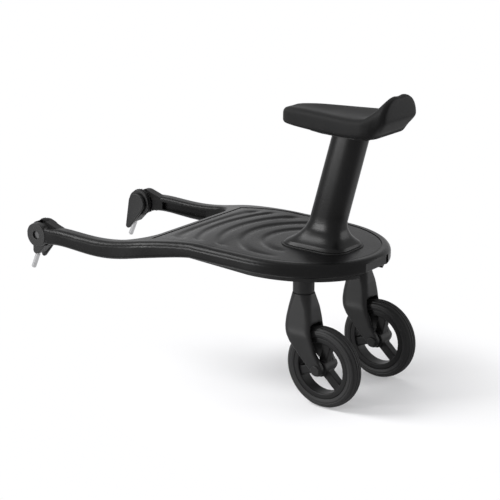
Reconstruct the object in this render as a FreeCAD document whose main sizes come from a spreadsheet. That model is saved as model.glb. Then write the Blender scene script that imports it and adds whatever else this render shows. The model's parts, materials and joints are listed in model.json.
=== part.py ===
"""Buggy board: a ride-on board with a saddle, two casters and two coupling arms.

The board stands on the floor, which is height zero. The arms point towards -X, the casters trail towards +X,
and the origin is on the floor under the middle of the overall length. Left is the -Y side.
"""
import FreeCAD
import Part
import math
import os
import Sketcher

V = FreeCAD.Vector
AXIS_X = V(1, 0, 0)
AXIS_Y = V(0, 1, 0)
AXIS_Z = V(0, 0, 1)
SIDES = {"left": -1, "right": 1}
FULL_TURN = 360
TOLERANCE = 1e-6
WALL_TOLERANCE = 1e-3
EDGE_POINTS = 5

SIZES = [
    # Fits shared by the whole board
    ("running_gap", 0.06, "radial clearance of a part that turns or slides"),
    ("press_gap", 0.02, "radial clearance of a part that is pressed in"),
    ("flat_gap", 0.3, "clearance between parts that pass or seat loosely"),
    ("overrun", 40, "how far a cutting shape runs past the part"),
    # Deck
    ("deck_top", 215, "height of the deck's top"),
    ("rim_bottom", 193, "height of the rim's lower edge"),
    ("deck_half_width", 122.5, "half of the deck's width"),
    ("deck_rear_x", 276, "rear end of the deck"),
    ("rear_round", 147.5, "length of the deck's round rear"),
    ("deck_round_x", "=deck_rear_x - rear_round", "where the straight sides turn into the round rear"),
    ("slab_front_x", 30.5, "front end of the flat part of the deck"),
    ("rim_top_round", 9, "rounding of the rim's upper edge"),
    ("rim_low_round", 6, "rounding of the rim's lower edge"),
    ("rim_width", 13, "rim seen from above, outside the grip panel"),
    ("wall", 9, "wall of the deck round its hollow underside"),
    ("hollow_top", 207.5, "height of the hollow's ceiling"),
    ("neck_overlap", 38, "length over which the neck lies inside the flat deck"),
    ("neck_skin", 0.05, "how far the neck stands proud of the flat deck"),
    # Neck and arms
    ("neck_start_x", 23.5, "where the neck starts to drop"),
    ("arm_level_x", -166.5, "where the arms run level again"),
    ("arm_end_x", -247.5, "front end of the arms' full section"),
    ("arm_top", 192.5, "height of the arms' top"),
    ("arm_bottom", 166.5, "height of the arms' underside"),
    ("arm_outer_y", 137, "outer face of the arms"),
    ("arm_width", 24, "width of an arm"),
    ("notch_x", -69.5, "bottom of the notch between the arms"),
    ("notch_round", 40, "rounding of the notch's corners"),
    ("notch_edge_round", 6, "rounding of the notch's upper and lower edges"),
    ("yoke_front_x", -259, "front end of the yoke that reaches round the coupling head"),
    ("yoke_top", 201, "height of the yoke's upper front edge"),
    ("yoke_slope_x", -231, "where the yoke's slope meets the arm's top"),
    ("yoke_gap", 0.6, "clearance between yoke and coupling head"),
    ("yoke_inset", 0.3, "how far the yoke's faces lie inside the arm's"),
    ("yoke_overlap", 5, "length over which the yoke lies inside the arm"),
    ("channel_depth", 7, "depth of the channel in the arm's inner face"),
    ("channel_height", 13, "height of that channel"),
    ("channel_margin", 22, "plain length at each end of that channel"),
    # Grip panel
    ("panel_recess", 3.5, "depth of the panel's seat in the deck"),
    ("panel_below_rim", 0.6, "how far the panel's top lies below the rim's"),
    ("ripple_depth", 1.0, "depth of the ripples"),
    ("ripple_setback", 100, "distance of the ripples' middle behind the seat's"),
    ("ripple_first", 192.5, "radius of the first ripple"),
    ("ripple_step", 31.2, "distance from one ripple to the next"),
    ("ripple_half_span", 89, "how far a ripple reaches to either side"),
    ("ripple_width", 9, "widest part of a ripple"),
    ("ripple_shift", 5, "offset that tapers a ripple towards its ends"),
    # Deck cover
    ("cover_bottom", 186.5, "height of the cover's underside"),
    ("cover_inset", 9, "how far the cover lies inside the rim"),
    ("cover_wall", 3, "thickness of the cover"),
    ("cover_front_x", 4.5, "front end of the cover"),
    ("cover_front_step", 1, "depth of the cover at its front end"),
    ("screw_radius", 1.6, "shank radius of the small screws"),
    ("screw_head_radius", 3.4, "head radius of the small screws"),
    ("screw_head_height", 2, "head height of the small screws"),
    ("screw_length", 14, "shank length of the small screws"),
    ("boss_radius", 5, "radius of the screw bosses"),
    # Seat
    ("seat_setback", 98.5, "distance of the seat's foot from the deck's rear end"),
    ("seat_x", "=deck_rear_x - seat_setback", "middle of the seat's foot"),
    ("plug_length", 58, "length of the plug under the post"),
    ("plug_width", 34, "width of that plug"),
    ("plug_round", 8, "rounding of the plug's corners"),
    ("plug_bottom", 197, "height of the plug's underside"),
    ("socket_wall", 5, "wall of the seat socket"),
    ("lip_length", 112, "length of the socket's lip"),
    ("lip_width", 84, "width of the socket's lip"),
    ("lip_round", 27, "rounding of the lip's corners"),
    ("lip_top", 216, "height of the lip's top"),
    ("skirt_length", 106, "length of the post's skirt"),
    ("skirt_width", 78, "width of the post's skirt"),
    ("skirt_round", 25, "rounding of the skirt's corners"),
    ("skirt_band", 5.2, "height of the skirt's upright edge"),
    ("flare_height", 30, "height of the flare from skirt to post"),
    ("post_length", 56, "post's section from front to rear"),
    ("post_width", 41, "post's section from side to side"),
    ("post_round", 17, "rounding of the post's corners"),
    ("post_top", 383.5, "height of the post's top"),
    ("post_taper", 3, "how much narrower the post is at its top"),
    ("post_lean", 46.5, "how far the post's top lies behind its foot"),
    ("saddle_base_top", 388, "height of the saddle base's top"),
    ("nose_reach", 66.5, "distance of the saddle's nose ahead of the seat's foot"),
    ("saddle_nose_x", "=seat_x - nose_reach", "front end of the saddle"),
    ("saddle_length", 193, "length of the saddle"),
    ("saddle_half_width", 53, "half of the saddle's greatest width"),
    ("saddle_thickness", 25, "thickness of the saddle pad ahead of its tail"),
    ("tail_rise", 35, "height of the tail above the saddle's top"),
    ("base_inset", 22, "how far the saddle base lies inside the pad"),
    ("base_round", 6, "rounding of the saddle base's corners"),
    # Seat release
    ("bolt_width", 15, "width of the release bolt"),
    ("bolt_bottom", 199.5, "height of the bolt's underside"),
    ("bolt_thickness", 4, "thickness of the bolt"),
    ("bolt_engagement", 3.5, "how deep the bolt reaches into the plug"),
    ("pull_setback", 9.5, "distance of the finger pull from the deck's rear end"),
    ("pull_front_x", "=deck_rear_x - pull_setback", "front of the finger pull"),
    ("pull_length", 4, "thickness of the finger pull"),
    ("pull_width", 55, "width of the finger pull"),
    ("pull_drop", 4.5, "how far the finger pull hangs below the bolt"),
    ("pull_rise", 4.8, "how far the finger pull stands above the bolt"),
    ("pull_round", 1.5, "rounding of the finger pull"),
    ("pull_travel", 6, "travel of the release"),
    ("recess_length", 25.5, "length of the recess under the rear rim"),
    ("recess_front_x", "=deck_rear_x - recess_length", "front end of that recess"),
    ("recess_width", 60, "width of the recess under the rear rim"),
    ("recess_top", 209.5, "height of that recess's top"),
    ("release_spring_setback", 45, "distance of the release spring behind the seat's middle"),
    ("release_spring_x", "=seat_x + release_spring_setback", "front end of the release spring"),
    ("release_spring_length", 18, "length of the release spring"),
    ("release_spring_radius", 1.8, "outer radius of the release spring"),
    ("spring_wire", 0.7, "wall of the small springs"),
    ("spring_peg", 3, "length of the peg that the release spring bears on"),
    # Casters
    ("caster_setback", 79.5, "distance of the swivel axes from the deck's rear end"),
    ("caster_axis_x", "=deck_rear_x - caster_setback", "swivel axes, from the origin"),
    ("caster_inset", 49.5, "distance of the swivel axes from the deck's sides"),
    ("caster_axis_y", "=deck_half_width - caster_inset", "swivel axes, from the middle"),
    ("housing_radius", 15.4, "outer radius of the caster housing"),
    ("housing_bottom", 165.5, "height of the housing's lower end"),
    ("bush_wall", 3, "wall of the swivel bush"),
    ("bush_top", 199, "height of the swivel bush's top"),
    ("stem_radius", 5, "radius of the swivel stem"),
    ("stem_bottom", 136, "height of the stem's lower end"),
    ("stem_top", 203, "height of the stem's upper end"),
    ("clip_radius", 7.4, "outer radius of the stem clip"),
    ("clip_thickness", 1.5, "thickness of the stem clip"),
    ("clip_groove", 1, "depth of the clip's groove in the stem"),
    # Fork
    ("fork_top", 165.2, "height of the fork's top"),
    ("fork_slot", 27.4, "gap between the fork's blades"),
    ("blade_thickness", 8, "thickness of a blade"),
    ("blade_end_radius", 9.5, "rounding of the blades' lower ends"),
    ("blade_rear_rise", 23.8, "height of the blades' rear corner above the axle"),
    ("blade_round", 3, "rounding of the blades' outer edges"),
    ("hood_front", 23, "greatest reach of the hood ahead of the swivel axis"),
    ("hood_rear", 31, "greatest reach of the hood behind the swivel axis"),
    ("hood_height", 74, "height of the hood"),
    ("hood_front_round", 10, "rounding of the hood's front corners"),
    ("hood_rear_round", 6.5, "rounding of the hood's rear corners"),
    ("tyre_clearance", 3.5, "gap between tyre and hood"),
    # Wheel
    ("wheel_radius", 60, "radius of the wheel"),
    ("wheel_trail", 37, "distance of the axle behind the swivel axis"),
    ("tyre_width", 22, "width of the tyre"),
    ("tyre_depth", 14, "depth of the tyre"),
    ("tyre_round", 7.8, "rounding of the tyre's shoulders"),
    ("tread_groove", 1.2, "width of a tread groove"),
    ("tread_depth", 1.2, "depth of a tread groove"),
    ("tread_pitch", 2.4, "distance from one tread groove to the next"),
    ("rim_ring_depth", 8.2, "depth of the wheel's ring"),
    ("rim_ring_width", 20, "width of the wheel's ring"),
    ("hub_radius", 12, "radius of the wheel's hub"),
    ("hub_width", 24, "width of the wheel's hub"),
    ("spoke_width", 13, "width of a spoke"),
    ("spoke_thickness", 13, "thickness of a spoke"),
    ("spoke_foot", 9, "how far a spoke widens towards the ring"),
    ("spoke_turn", -42, "turn of the first spoke below the level, in degrees"),
    ("axle_radius", 4, "radius of the axle"),
    ("axle_cap_radius", 7.5, "radius of an axle cap"),
    ("axle_cap_height", 2.4, "height of an axle cap"),
    ("wheel_bush_wall", 2, "wall of a wheel bush"),
    ("wheel_bush_length", 9, "length of a wheel bush inside the hub"),
    ("wheel_bush_flange", 1.4, "thickness of a wheel bush's flange"),
    ("wheel_bush_flange_radius", 9, "radius of that flange"),
    # Coupling heads
    ("pivot_x", -271.5, "pivot of the coupling heads"),
    ("pivot_z", 179, "height of that pivot"),
    ("head_radius", 21, "radius of a head round its pivot"),
    ("head_reach", 33, "distance from the pivot to the middle of the pin boss's lower end"),
    ("head_end_radius", 6.6, "rounding of the pin boss's lower end"),
    ("head_tilt", 25, "forward tilt of the head, in degrees"),
    ("cheek_radius", 19, "radius of the head's outer cheek"),
    ("boss_radius_top", 18, "radius of the pin boss round the pivot"),
    ("boss_outer_y", 124, "outer face of the pin boss"),
    ("head_inner_y", 105, "inner face of the head's body"),
    ("cheek", 10, "thickness of the head's outer cheek"),
    ("tongue_width", 13.2, "thickness of the arm's tongue in the head"),
    ("tongue_radius", 15.5, "rounding of the tongue's end"),
    ("tongue_half_height", 12, "half of the tongue's height"),
    ("slot_radius", 17, "radius of the slot for the tongue"),
    ("head_turn_up", 80, "how far the head turns forward, in degrees"),
    ("head_turn_down", 20, "how far the head turns back, in degrees"),
    ("pivot_bolt_radius", 4, "radius of the pivot bolt"),
    ("bolt_head_radius", 6.5, "radius of the pivot bolt's head"),
    ("bolt_head_height", 4, "height of that head"),
    ("bolt_head_recess", 3.5, "how deep that head lies in the cheek"),
    ("ring_radius", 22.5, "outer radius of the ratchet ring"),
    ("ring_bore", 13, "bore of the ratchet ring"),
    ("ring_width", 3.4, "width of the ratchet ring"),
    ("pin_radius", 3.8, "radius of the coupling pin"),
    ("pin_tip", 69, "distance from the pivot to the pin's tip"),
    ("pin_root", 31, "distance from the pivot to the pin's root"),
    ("pin_shoulder", 42.5, "distance from the pivot to the pin's shoulder"),
    ("pin_root_radius", 3.3, "radius of the pin above its shoulder"),
    ("pin_y", 116, "distance of the coupling pin from the middle"),
    ("pin_point", 1.2, "chamfer of the pin's tip"),
    # Release buttons in the heads
    ("button_thickness", 4.6, "thickness of the button's plate"),
    ("button_travel", 2, "travel of the button"),
    ("button_margin", 0.6, "room behind the button's plate at the end of its travel"),
    ("button_radius", 16.5, "radius of the button round the pivot"),
    ("button_reach", 46, "distance from the pivot to the middle of the button's tab"),
    ("tab_radius", 4.4, "rounding of the tab"),
    ("guide_radius", 3.5, "radius of the button's guide"),
    ("guide_reach", 26.5, "distance from the pivot to the guide"),
    ("guide_length", 12, "length of the guide"),
    ("button_spring_length", 9, "length of the button's spring"),
    ("button_spring_radius", 3.2, "outer radius of that spring"),
]

# Shares along the neck, from the flat deck to the level arms: place, drop of the top and of the underside,
# and widening
NECK_PLACE_SHARES = (0, 0.21, 0.47, 0.70, 1)
NECK_DROP_SHARES = (0, 0.15, 0.46, 0.81, 1)
NECK_LOW_SHARES = (0, 0.22, 0.56, 0.88, 1)
NECK_WIDTH_SHARES = (0, 0.35, 0.85, 1, 1)
# Shares of the saddle: place along it, half width, rise of the top and of the underside, rounding of the top
# and of the underside
SADDLE_PLACE_SHARES = (0, 0.028, 0.10, 0.26, 0.505, 0.71, 0.826, 0.889, 0.94, 0.972, 1)
SADDLE_WIDTH_SHARES = (0.17, 0.33, 0.47, 0.62, 0.81, 0.96, 1, 0.96, 0.88, 0.80, 0.66)
SADDLE_TOP_SHARES = (-0.23, -0.10, -0.04, 0, -0.015, -0.03, 0.06, 0.40, 0.83, 1, 0.95)
SADDLE_UNDER_SHARES = (0.20, 0.085, 0.04, 0.01, 0, 0.02, 0.04, 0.05, 0.07, 0.13, 0.26)
SADDLE_ROUND_SHARES = (0.5, 0.45, 0.38, 0.30, 0.235, 0.20, 0.22, 0.42, 0.70, 0.80, 0.80)
SADDLE_LOW_ROUND_SHARES = (0.16, 0.16, 0.16, 0.16, 0.16, 0.17, 0.20, 0.26, 0.36, 0.45, 0.55)
# Shares of the saddle base's outline: place along the saddle and half width
BASE_PLACE_SHARES = (0.26, 0.40, 0.70, 0.80)
BASE_WIDTH_SHARES = (0.45, 0.72, 0.92, 0.80)
# Shares of the hood: depth below the fork's top, reach ahead and behind, half width, rounding
# ahead and behind
HOOD_DEPTH_SHARES = (0, 0.28, 0.50, 0.68, 0.83, 1)
HOOD_FRONT_SHARES = (0.67, 0.85, 0.96, 1, 0.92, 0.55)
HOOD_REAR_SHARES = (0.50, 0.66, 0.74, 0.79, 0.86, 0.98)
HOOD_WIDTH_SHARES = (0.71, 0.80, 0.87, 0.93, 0.97, 1)
HOOD_ROUND_SHARES = (1.44, 1.25, 1.1, 1, 1, 1)
HOOD_REAR_ROUND_SHARES = (2.2, 1.4, 1.15, 1, 1, 1)
# Shares of the blades below the hood: depth of the hood, reach ahead and behind
BLADE_TOP_SHARE = 0.75
BLADE_FRONT_SHARES = (0.70, 0.36)
BLADE_REAR_SHARES = (0.80, 1.07)
# Shares of the flare between skirt and post: height and how much of the skirt's width is left
FLARE_HEIGHT_SHARES = (0, 0.14, 0.38, 0.68, 1)
FLARE_WIDTH_SHARES = (1, 0.66, 0.32, 0.10, 0)
# Places of the cover's screws, as shares of the deck's length behind the slab's front and of its half width
SCREW_PLACE_SHARES = ((0.43, 0.76), (0.43, 0.30), (0.85, 0.39))
# Places of the saddle's screws, as shares of half the post's section
SADDLE_SCREW_SHARE = 0.5
RIPPLES = 5
TREAD_GROOVES = 3
SPOKES = 3
SWEEP_STEPS = 8

doc = FreeCAD.newDocument("buggy_board")
sheet = doc.addObject("Spreadsheet::Sheet", "Sizes")
for row, (alias, value, note) in enumerate(SIZES, start=1):
    sheet.set(f"A{row}", note)
    sheet.set(f"B{row}", str(value))
    sheet.setAlias(f"B{row}", alias)
doc.recompute()


class Size:
    """A length read from the sheet, with the expression that gives it."""

    def __init__(self, number, text):
        self.number = float(number)
        self.text = text

    def __float__(self):
        return self.number

    def __add__(self, other):
        return Size(self.number + float(other), f"({self.text} + {text_of(other)})")

    def __radd__(self, other):
        return Size(float(other) + self.number, f"({text_of(other)} + {self.text})")

    def __sub__(self, other):
        return Size(self.number - float(other), f"({self.text} - {text_of(other)})")

    def __rsub__(self, other):
        return Size(float(other) - self.number, f"({text_of(other)} - {self.text})")

    def __mul__(self, other):
        return Size(self.number * float(other), f"({self.text} * {text_of(other)})")

    __rmul__ = __mul__

    def __truediv__(self, other):
        return Size(self.number / float(other), f"({self.text} / {text_of(other)})")

    def __neg__(self):
        return Size(-self.number, f"(-{self.text})")


def text_of(term):
    return term.text if isinstance(term, Size) else repr(float(term))


class SheetSizes:
    """Gives each alias of the sheet as a Size."""

    def __getattr__(self, alias):
        return Size(sheet.get(alias), f"Sizes.{alias}")


sz = SheetSizes()
sub_parts = []


# Document objects

def place(part, x=0, y=0, z=0, rotation=None):
    """Puts a sub-part in its place and binds that place to the sheet."""
    part.Placement = FreeCAD.Placement(V(x, y, z), rotation or FreeCAD.Rotation())
    for letter, coordinate in zip("xyz", (x, y, z)):
        if isinstance(coordinate, Size):
            part.setExpression(f"Placement.Base.{letter}", coordinate.text)
    part.Label = part.Name
    sub_parts.append(part)
    return part


def origin_plane(body, role):
    return [plane for plane in body.Origin.OriginFeatures if plane.Role == role][0]


def fix_coordinate(sketch, line, kind, coordinate, axis):
    """Fixes the start of a line at a distance from the sketch's origin."""
    if float(coordinate) == 0:
        sketch.addConstraint(Sketcher.Constraint("PointOnObject", line, 1, axis))
        return
    index = sketch.addConstraint(Sketcher.Constraint(kind, -1, 1, line, 1, float(coordinate)))
    if isinstance(coordinate, Size):
        sketch.setExpression(f"Constraints[{index}]", coordinate.text)


def profile_sketch(body, name, corners, role):
    """Closed outline of straight lines through corners given from the sketch's origin."""
    sketch = body.newObject("Sketcher::SketchObject", name)
    sketch.AttachmentSupport = [(origin_plane(body, role), "")]
    sketch.MapMode = "FlatFace"
    count = len(corners)
    for index, (across, along) in enumerate(corners):
        next_across, next_along = corners[(index + 1) % count]
        sketch.addGeometry(Part.LineSegment(V(across, along, 0), V(next_across, next_along, 0)))
    for index in range(count):
        sketch.addConstraint(Sketcher.Constraint("Coincident", index, 2, (index + 1) % count, 1))
    for index, (across, along) in enumerate(corners):
        fix_coordinate(sketch, index, "DistanceX", across, -2)
        fix_coordinate(sketch, index, "DistanceY", along, -1)
    return sketch


def turned_body(name, corners):
    """Body turned about its own Z axis from corners (radius, height)."""
    body = doc.addObject("PartDesign::Body", name)
    sketch = profile_sketch(body, f"{name}_profile", corners, "XZ_Plane")
    turn = body.newObject("PartDesign::Revolution", f"{name}_turn")
    turn.Profile = sketch
    turn.ReferenceAxis = (sketch, ["V_Axis"])
    turn.Angle = FULL_TURN
    doc.recompute()
    return body


def round_edges(body, base, radius, chosen):
    """Rounds the edges of a body's last feature that the test picks."""
    names = [f"Edge{index}" for index, edge in enumerate(base.Shape.Edges, start=1) if chosen(edge)]
    fillet = body.newObject("PartDesign::Fillet", f"{body.Name}_rounding")
    fillet.Base = (base, names)
    fillet.Radius = float(radius)
    fillet.setExpression("Radius", radius.text)
    doc.recompute()
    return fillet


def shaped_part(name, shape):
    """Sub-part whose shape is worked out from the sheet's sizes."""
    part = doc.addObject("Part::Feature", name)
    part.Shape = shape
    return part


ALONG_Y = FreeCAD.Rotation(AXIS_X, -90)
ALONG_X = FreeCAD.Rotation(AXIS_Y, 90)


# Outlines and blanks

def rounded_loop(corners, radii):
    """Closed wire through flat corners, each rounded by its own radius."""
    count = len(corners)
    starts, arcs = [], []
    for index, corner in enumerate(corners):
        radius = float(radii[index])
        before = (corners[index - 1] - corner).normalize()
        after = (corners[(index + 1) % count] - corner).normalize()
        if radius == 0:
            starts.append((corner, corner))
            arcs.append(None)
            continue
        half = before.getAngle(after) / 2
        leg = radius / math.tan(half)
        middle = (before + after).normalize()
        centre = corner + middle * (radius / math.sin(half))
        starts.append((corner + before * leg, corner + after * leg))
        arcs.append(centre - middle * radius)
    edges = []
    for index in range(count):
        enter, leave = starts[index]
        if arcs[index] is not None:
            edges.append(Part.Arc(enter, arcs[index], leave).toShape())
        edges.append(Part.LineSegment(leave, starts[(index + 1) % count][0]).toShape())
    return Part.Wire(edges)


def rectangle(middle, length, width, height):
    """Corners of a level rectangle about a point on the X axis."""
    return [
        V(middle - length / 2, -width / 2, height),
        V(middle + length / 2, -width / 2, height),
        V(middle + length / 2, width / 2, height),
        V(middle - length / 2, width / 2, height),
    ]


def upright_section(x, half_width, low, high, top_round, low_round):
    """Rounded section across the board, in a plane at x."""
    corners = [V(x, -half_width, low), V(x, half_width, low), V(x, half_width, high), V(x, -half_width, high)]
    return rounded_loop(corners, (low_round, low_round, top_round, top_round))


def prism(wire, low, high):
    """Upright prism of a wire drawn at height zero."""
    face = Part.Face(wire)
    face.translate(AXIS_Z * float(low))
    return face.extrude(AXIS_Z * (float(high) - float(low)))


def box(low, high):
    return Part.makeBox(high.x - low.x, high.y - low.y, high.z - low.z, low)


def rod(radius, start, end):
    """Cylinder from one point to another."""
    return Part.makeCylinder(radius, (end - start).Length, start, end - start)


def mirrored(shape, side):
    """The shape made for the right side, on the side asked for."""
    return shape if side > 0 else shape.mirror(V(0, 0, 0), AXIS_Y)


def deck_outline(inset, front):
    """Outline of the deck at height zero: straight sides and an elliptical rear."""
    half = sz.deck_half_width - inset
    reach = sz.deck_rear_x - sz.deck_round_x - inset
    ellipse = Part.Ellipse(V(sz.deck_round_x, 0, 0), reach, half)
    rear = Part.ArcOfEllipse(ellipse, -math.pi / 2, math.pi / 2).toShape()
    corners = [
        V(sz.deck_round_x, half, 0), V(front, half, 0), V(front, -half, 0), V(sz.deck_round_x, -half, 0),
    ]
    lines = [Part.LineSegment(corners[index], corners[index + 1]).toShape() for index in range(3)]
    return Part.Wire([rear] + lines)


def neck_sections(grow):
    """Sections of the neck and arms as one plank, from the flat deck to the arms' ends."""
    run = sz.neck_start_x - sz.arm_level_x
    rows = [(sz.neck_start_x + sz.neck_overlap, 0, 0, 0)]
    shares = zip(NECK_PLACE_SHARES, NECK_DROP_SHARES, NECK_LOW_SHARES, NECK_WIDTH_SHARES)
    for place_share, drop_share, low_share, width_share in shares:
        rows.append((sz.neck_start_x - run * place_share, drop_share, low_share, width_share))
    rows.append((sz.arm_end_x, 1, 1, 1))
    sections = []
    for x, drop_share, low_share, width_share in rows:
        proud = sz.neck_skin * (1 - drop_share) + grow
        top = sz.deck_top - (sz.deck_top - sz.arm_top) * drop_share + proud
        low = sz.rim_bottom - (sz.rim_bottom - sz.arm_bottom) * low_share - proud
        half = sz.deck_half_width + (sz.arm_outer_y - sz.deck_half_width) * width_share + sz.neck_skin + grow
        sections.append(upright_section(x, half, low, top, sz.rim_top_round, sz.rim_low_round))
    return sections


def level_rim_edges(slab, height):
    """Level edges of the flat deck's rim at a height, without its front edge."""
    edges = [edge for edge in slab.Edges if edge.BoundBox.ZLength < TOLERANCE]
    edges = [edge for edge in edges if abs(edge.BoundBox.ZMin - float(height)) < TOLERANCE]
    return [edge for edge in edges if edge.BoundBox.XLength > TOLERANCE]


def deck_blank():
    """The solid deck with its neck and arms, before anything is cut out of it."""
    slab = prism(deck_outline(0, sz.slab_front_x), sz.rim_bottom, sz.deck_top)
    slab = slab.makeFillet(sz.rim_top_round, level_rim_edges(slab, sz.deck_top))
    slab = slab.makeFillet(sz.rim_low_round, level_rim_edges(slab, sz.rim_bottom))
    plank = Part.makeLoft(neck_sections(0), True)
    cutter = notch_cutter()
    notched = slab.fuse(plank).cut(cutter)
    return notched.makeFillet(sz.notch_edge_round, notch_edges(notched, cutter.Shells[0]))


def notch_cutter():
    """What the notch between the arms takes out of the plank."""
    half = sz.arm_outer_y - sz.arm_width
    front = sz.arm_end_x - sz.overrun
    corners = [V(front, -half, 0), V(sz.notch_x, -half, 0), V(sz.notch_x, half, 0), V(front, half, 0)]
    outline = rounded_loop(corners, (0, sz.notch_round, sz.notch_round, 0))
    return prism(outline, sz.arm_bottom - sz.overrun, sz.deck_top + sz.overrun)


def notch_edges(deck, wall):
    """Edges of the deck that run along the notch's wall, without the upright ones."""
    edges = [edge for edge in deck.Edges if not is_upright(edge)]
    return [edge for edge in edges if all(on_wall(point, wall) for point in edge.discretize(EDGE_POINTS))]


def is_upright(edge):
    return max(edge.BoundBox.XLength, edge.BoundBox.YLength) < WALL_TOLERANCE


def on_wall(point, wall):
    return wall.distToShape(Part.Vertex(point))[0] < WALL_TOLERANCE


# Deck

def panel_outline(inset):
    """Outline of the grip panel's seat, which keeps clear of the rim and the notch."""
    return deck_outline(sz.rim_width + inset, sz.notch_x + sz.rim_width + inset)


def lowered(shape, depth):
    copy = shape.copy()
    copy.translate(AXIS_Z * -float(depth))
    return copy


def above_depth(blank, outline, depth):
    """Everything inside an outline that lies above the blank's top lowered by a depth."""
    column = prism(outline, sz.rim_bottom + sz.cover_wall, sz.deck_top + sz.overrun)
    return column.cut(lowered(blank, depth))


def tongue(side):
    """The arm's flat end, which the coupling head turns on."""
    low_y = sz.arm_outer_y - sz.cheek - sz.flat_gap - sz.tongue_width
    high_y = sz.arm_outer_y - sz.cheek - sz.flat_gap
    half = sz.tongue_half_height
    bar = box(V(sz.pivot_x, low_y, sz.pivot_z - half),
              V(sz.arm_end_x + sz.flat_gap, high_y, sz.pivot_z + half))
    eye = rod(sz.tongue_radius, V(sz.pivot_x, low_y, sz.pivot_z), V(sz.pivot_x, high_y, sz.pivot_z))
    bore = rod(sz.pivot_bolt_radius + sz.running_gap, V(sz.pivot_x, 0, sz.pivot_z),
               V(sz.pivot_x, sz.arm_outer_y, sz.pivot_z))
    return mirrored(bar.fuse(eye).cut(bore), side)


def yoke(side):
    """The arm's front end, hollowed to let the coupling head turn in it."""
    inner = sz.arm_outer_y - sz.arm_width + sz.yoke_inset
    step = sz.arm_outer_y - sz.cheek
    outer_wall = box(V(sz.yoke_front_x, inner, sz.arm_bottom + sz.yoke_inset),
                     V(sz.arm_end_x + sz.yoke_overlap, sz.arm_outer_y - sz.yoke_inset,
                       sz.arm_top - sz.yoke_inset))
    outer_wall = outer_wall.makeFillet(sz.notch_edge_round, lengthwise_edges(outer_wall))
    slope = [V(sz.yoke_front_x, inner, sz.pivot_z), V(sz.yoke_front_x, inner, sz.yoke_top),
             V(sz.yoke_slope_x, inner, sz.arm_top), V(sz.yoke_slope_x, inner, sz.pivot_z)]
    crown = Part.Face(Part.makePolygon(slope + slope[:1])).extrude(AXIS_Y * float(step - inner))
    body = outer_wall.fuse(crown)
    ring_room = sz.ring_radius + sz.yoke_gap
    body = body.cut(rod(ring_room, pivot(0), pivot(inner + sz.flat_gap * 2)))
    body = body.cut(rod(sz.head_radius + sz.yoke_gap, pivot(inner), pivot(step)))
    return mirrored(body.cut(rod(sz.cheek_radius + sz.yoke_gap, pivot(step), pivot(sz.arm_outer_y))), side)


def lengthwise_edges(bar):
    return [edge for edge in bar.Edges if edge.BoundBox.XLength > WALL_TOLERANCE]


def arm_channel(side):
    """The long channel in the arm's inner face."""
    inner = sz.arm_outer_y - sz.arm_width
    middle = (sz.arm_top + sz.arm_bottom) / 2
    half = sz.channel_height / 2
    low = V(sz.arm_end_x + sz.channel_margin, inner - sz.overrun, middle - half)
    high = V(sz.notch_x - sz.notch_round - sz.channel_margin, inner + sz.channel_depth, middle + half)
    return mirrored(box(low, high), side)


def screw_places():
    """Places of the cover's screws on both sides of the deck."""
    length = sz.deck_rear_x - sz.slab_front_x
    for along_share, across_share in SCREW_PLACE_SHARES:
        for side in SIDES.values():
            yield sz.slab_front_x + length * along_share, sz.deck_half_width * across_share * side


def screw_boss(x, y):
    foot = V(x, y, sz.cover_bottom + sz.cover_wall)
    boss = rod(sz.boss_radius, foot, V(x, y, sz.hollow_top))
    hole_top = V(x, y, sz.cover_bottom + sz.screw_length + sz.flat_gap)
    return boss.cut(rod(sz.screw_radius + sz.press_gap, foot, hole_top))


def bolt_rear_x():
    """Rear end of the slot in the release bolt, which the peg stands in."""
    return sz.release_spring_x + sz.release_spring_length + sz.spring_peg + sz.pull_travel + sz.flat_gap


def release_guides():
    """Rails that guide the release bolt, and the peg that its spring bears on."""
    inner = sz.bolt_width / 2 + sz.flat_gap
    front = plug_rear_x() + sz.socket_wall + sz.flat_gap * 2
    rail = box(V(front, inner, sz.bolt_bottom), V(bolt_rear_x(), inner + sz.cover_wall, sz.hollow_top))
    peg_front = sz.release_spring_x + sz.release_spring_length
    half_peg = sz.release_spring_radius
    peg = box(V(peg_front, -half_peg, sz.bolt_bottom), V(peg_front + sz.spring_peg, half_peg, sz.hollow_top))
    return rail.fuse(mirrored(rail, -1)).fuse(peg)


def plug_rear_x():
    return sz.seat_x + sz.plug_length / 2


def socket_loop(extra):
    """Outline of the seat socket's cup, with room added all round."""
    grown = sz.socket_wall + sz.flat_gap + extra
    corners = rectangle(sz.seat_x, sz.plug_length + grown * 2, sz.plug_width + grown * 2, 0)
    return rounded_loop(corners, (sz.plug_round + grown,) * 4)


def lip_loop(extra):
    """Outline of the seat socket's lip, with room added all round."""
    corners = rectangle(sz.seat_x, sz.lip_length + extra * 2, sz.lip_width + extra * 2, 0)
    return rounded_loop(corners, (sz.lip_round + extra,) * 4)


def rear_recess():
    """Finger recess under the rear rim."""
    half = sz.recess_width / 2
    rear = sz.deck_rear_x + sz.overrun
    return box(V(sz.recess_front_x, -half, sz.rim_bottom - sz.overrun), V(rear, half, sz.recess_top))


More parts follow.
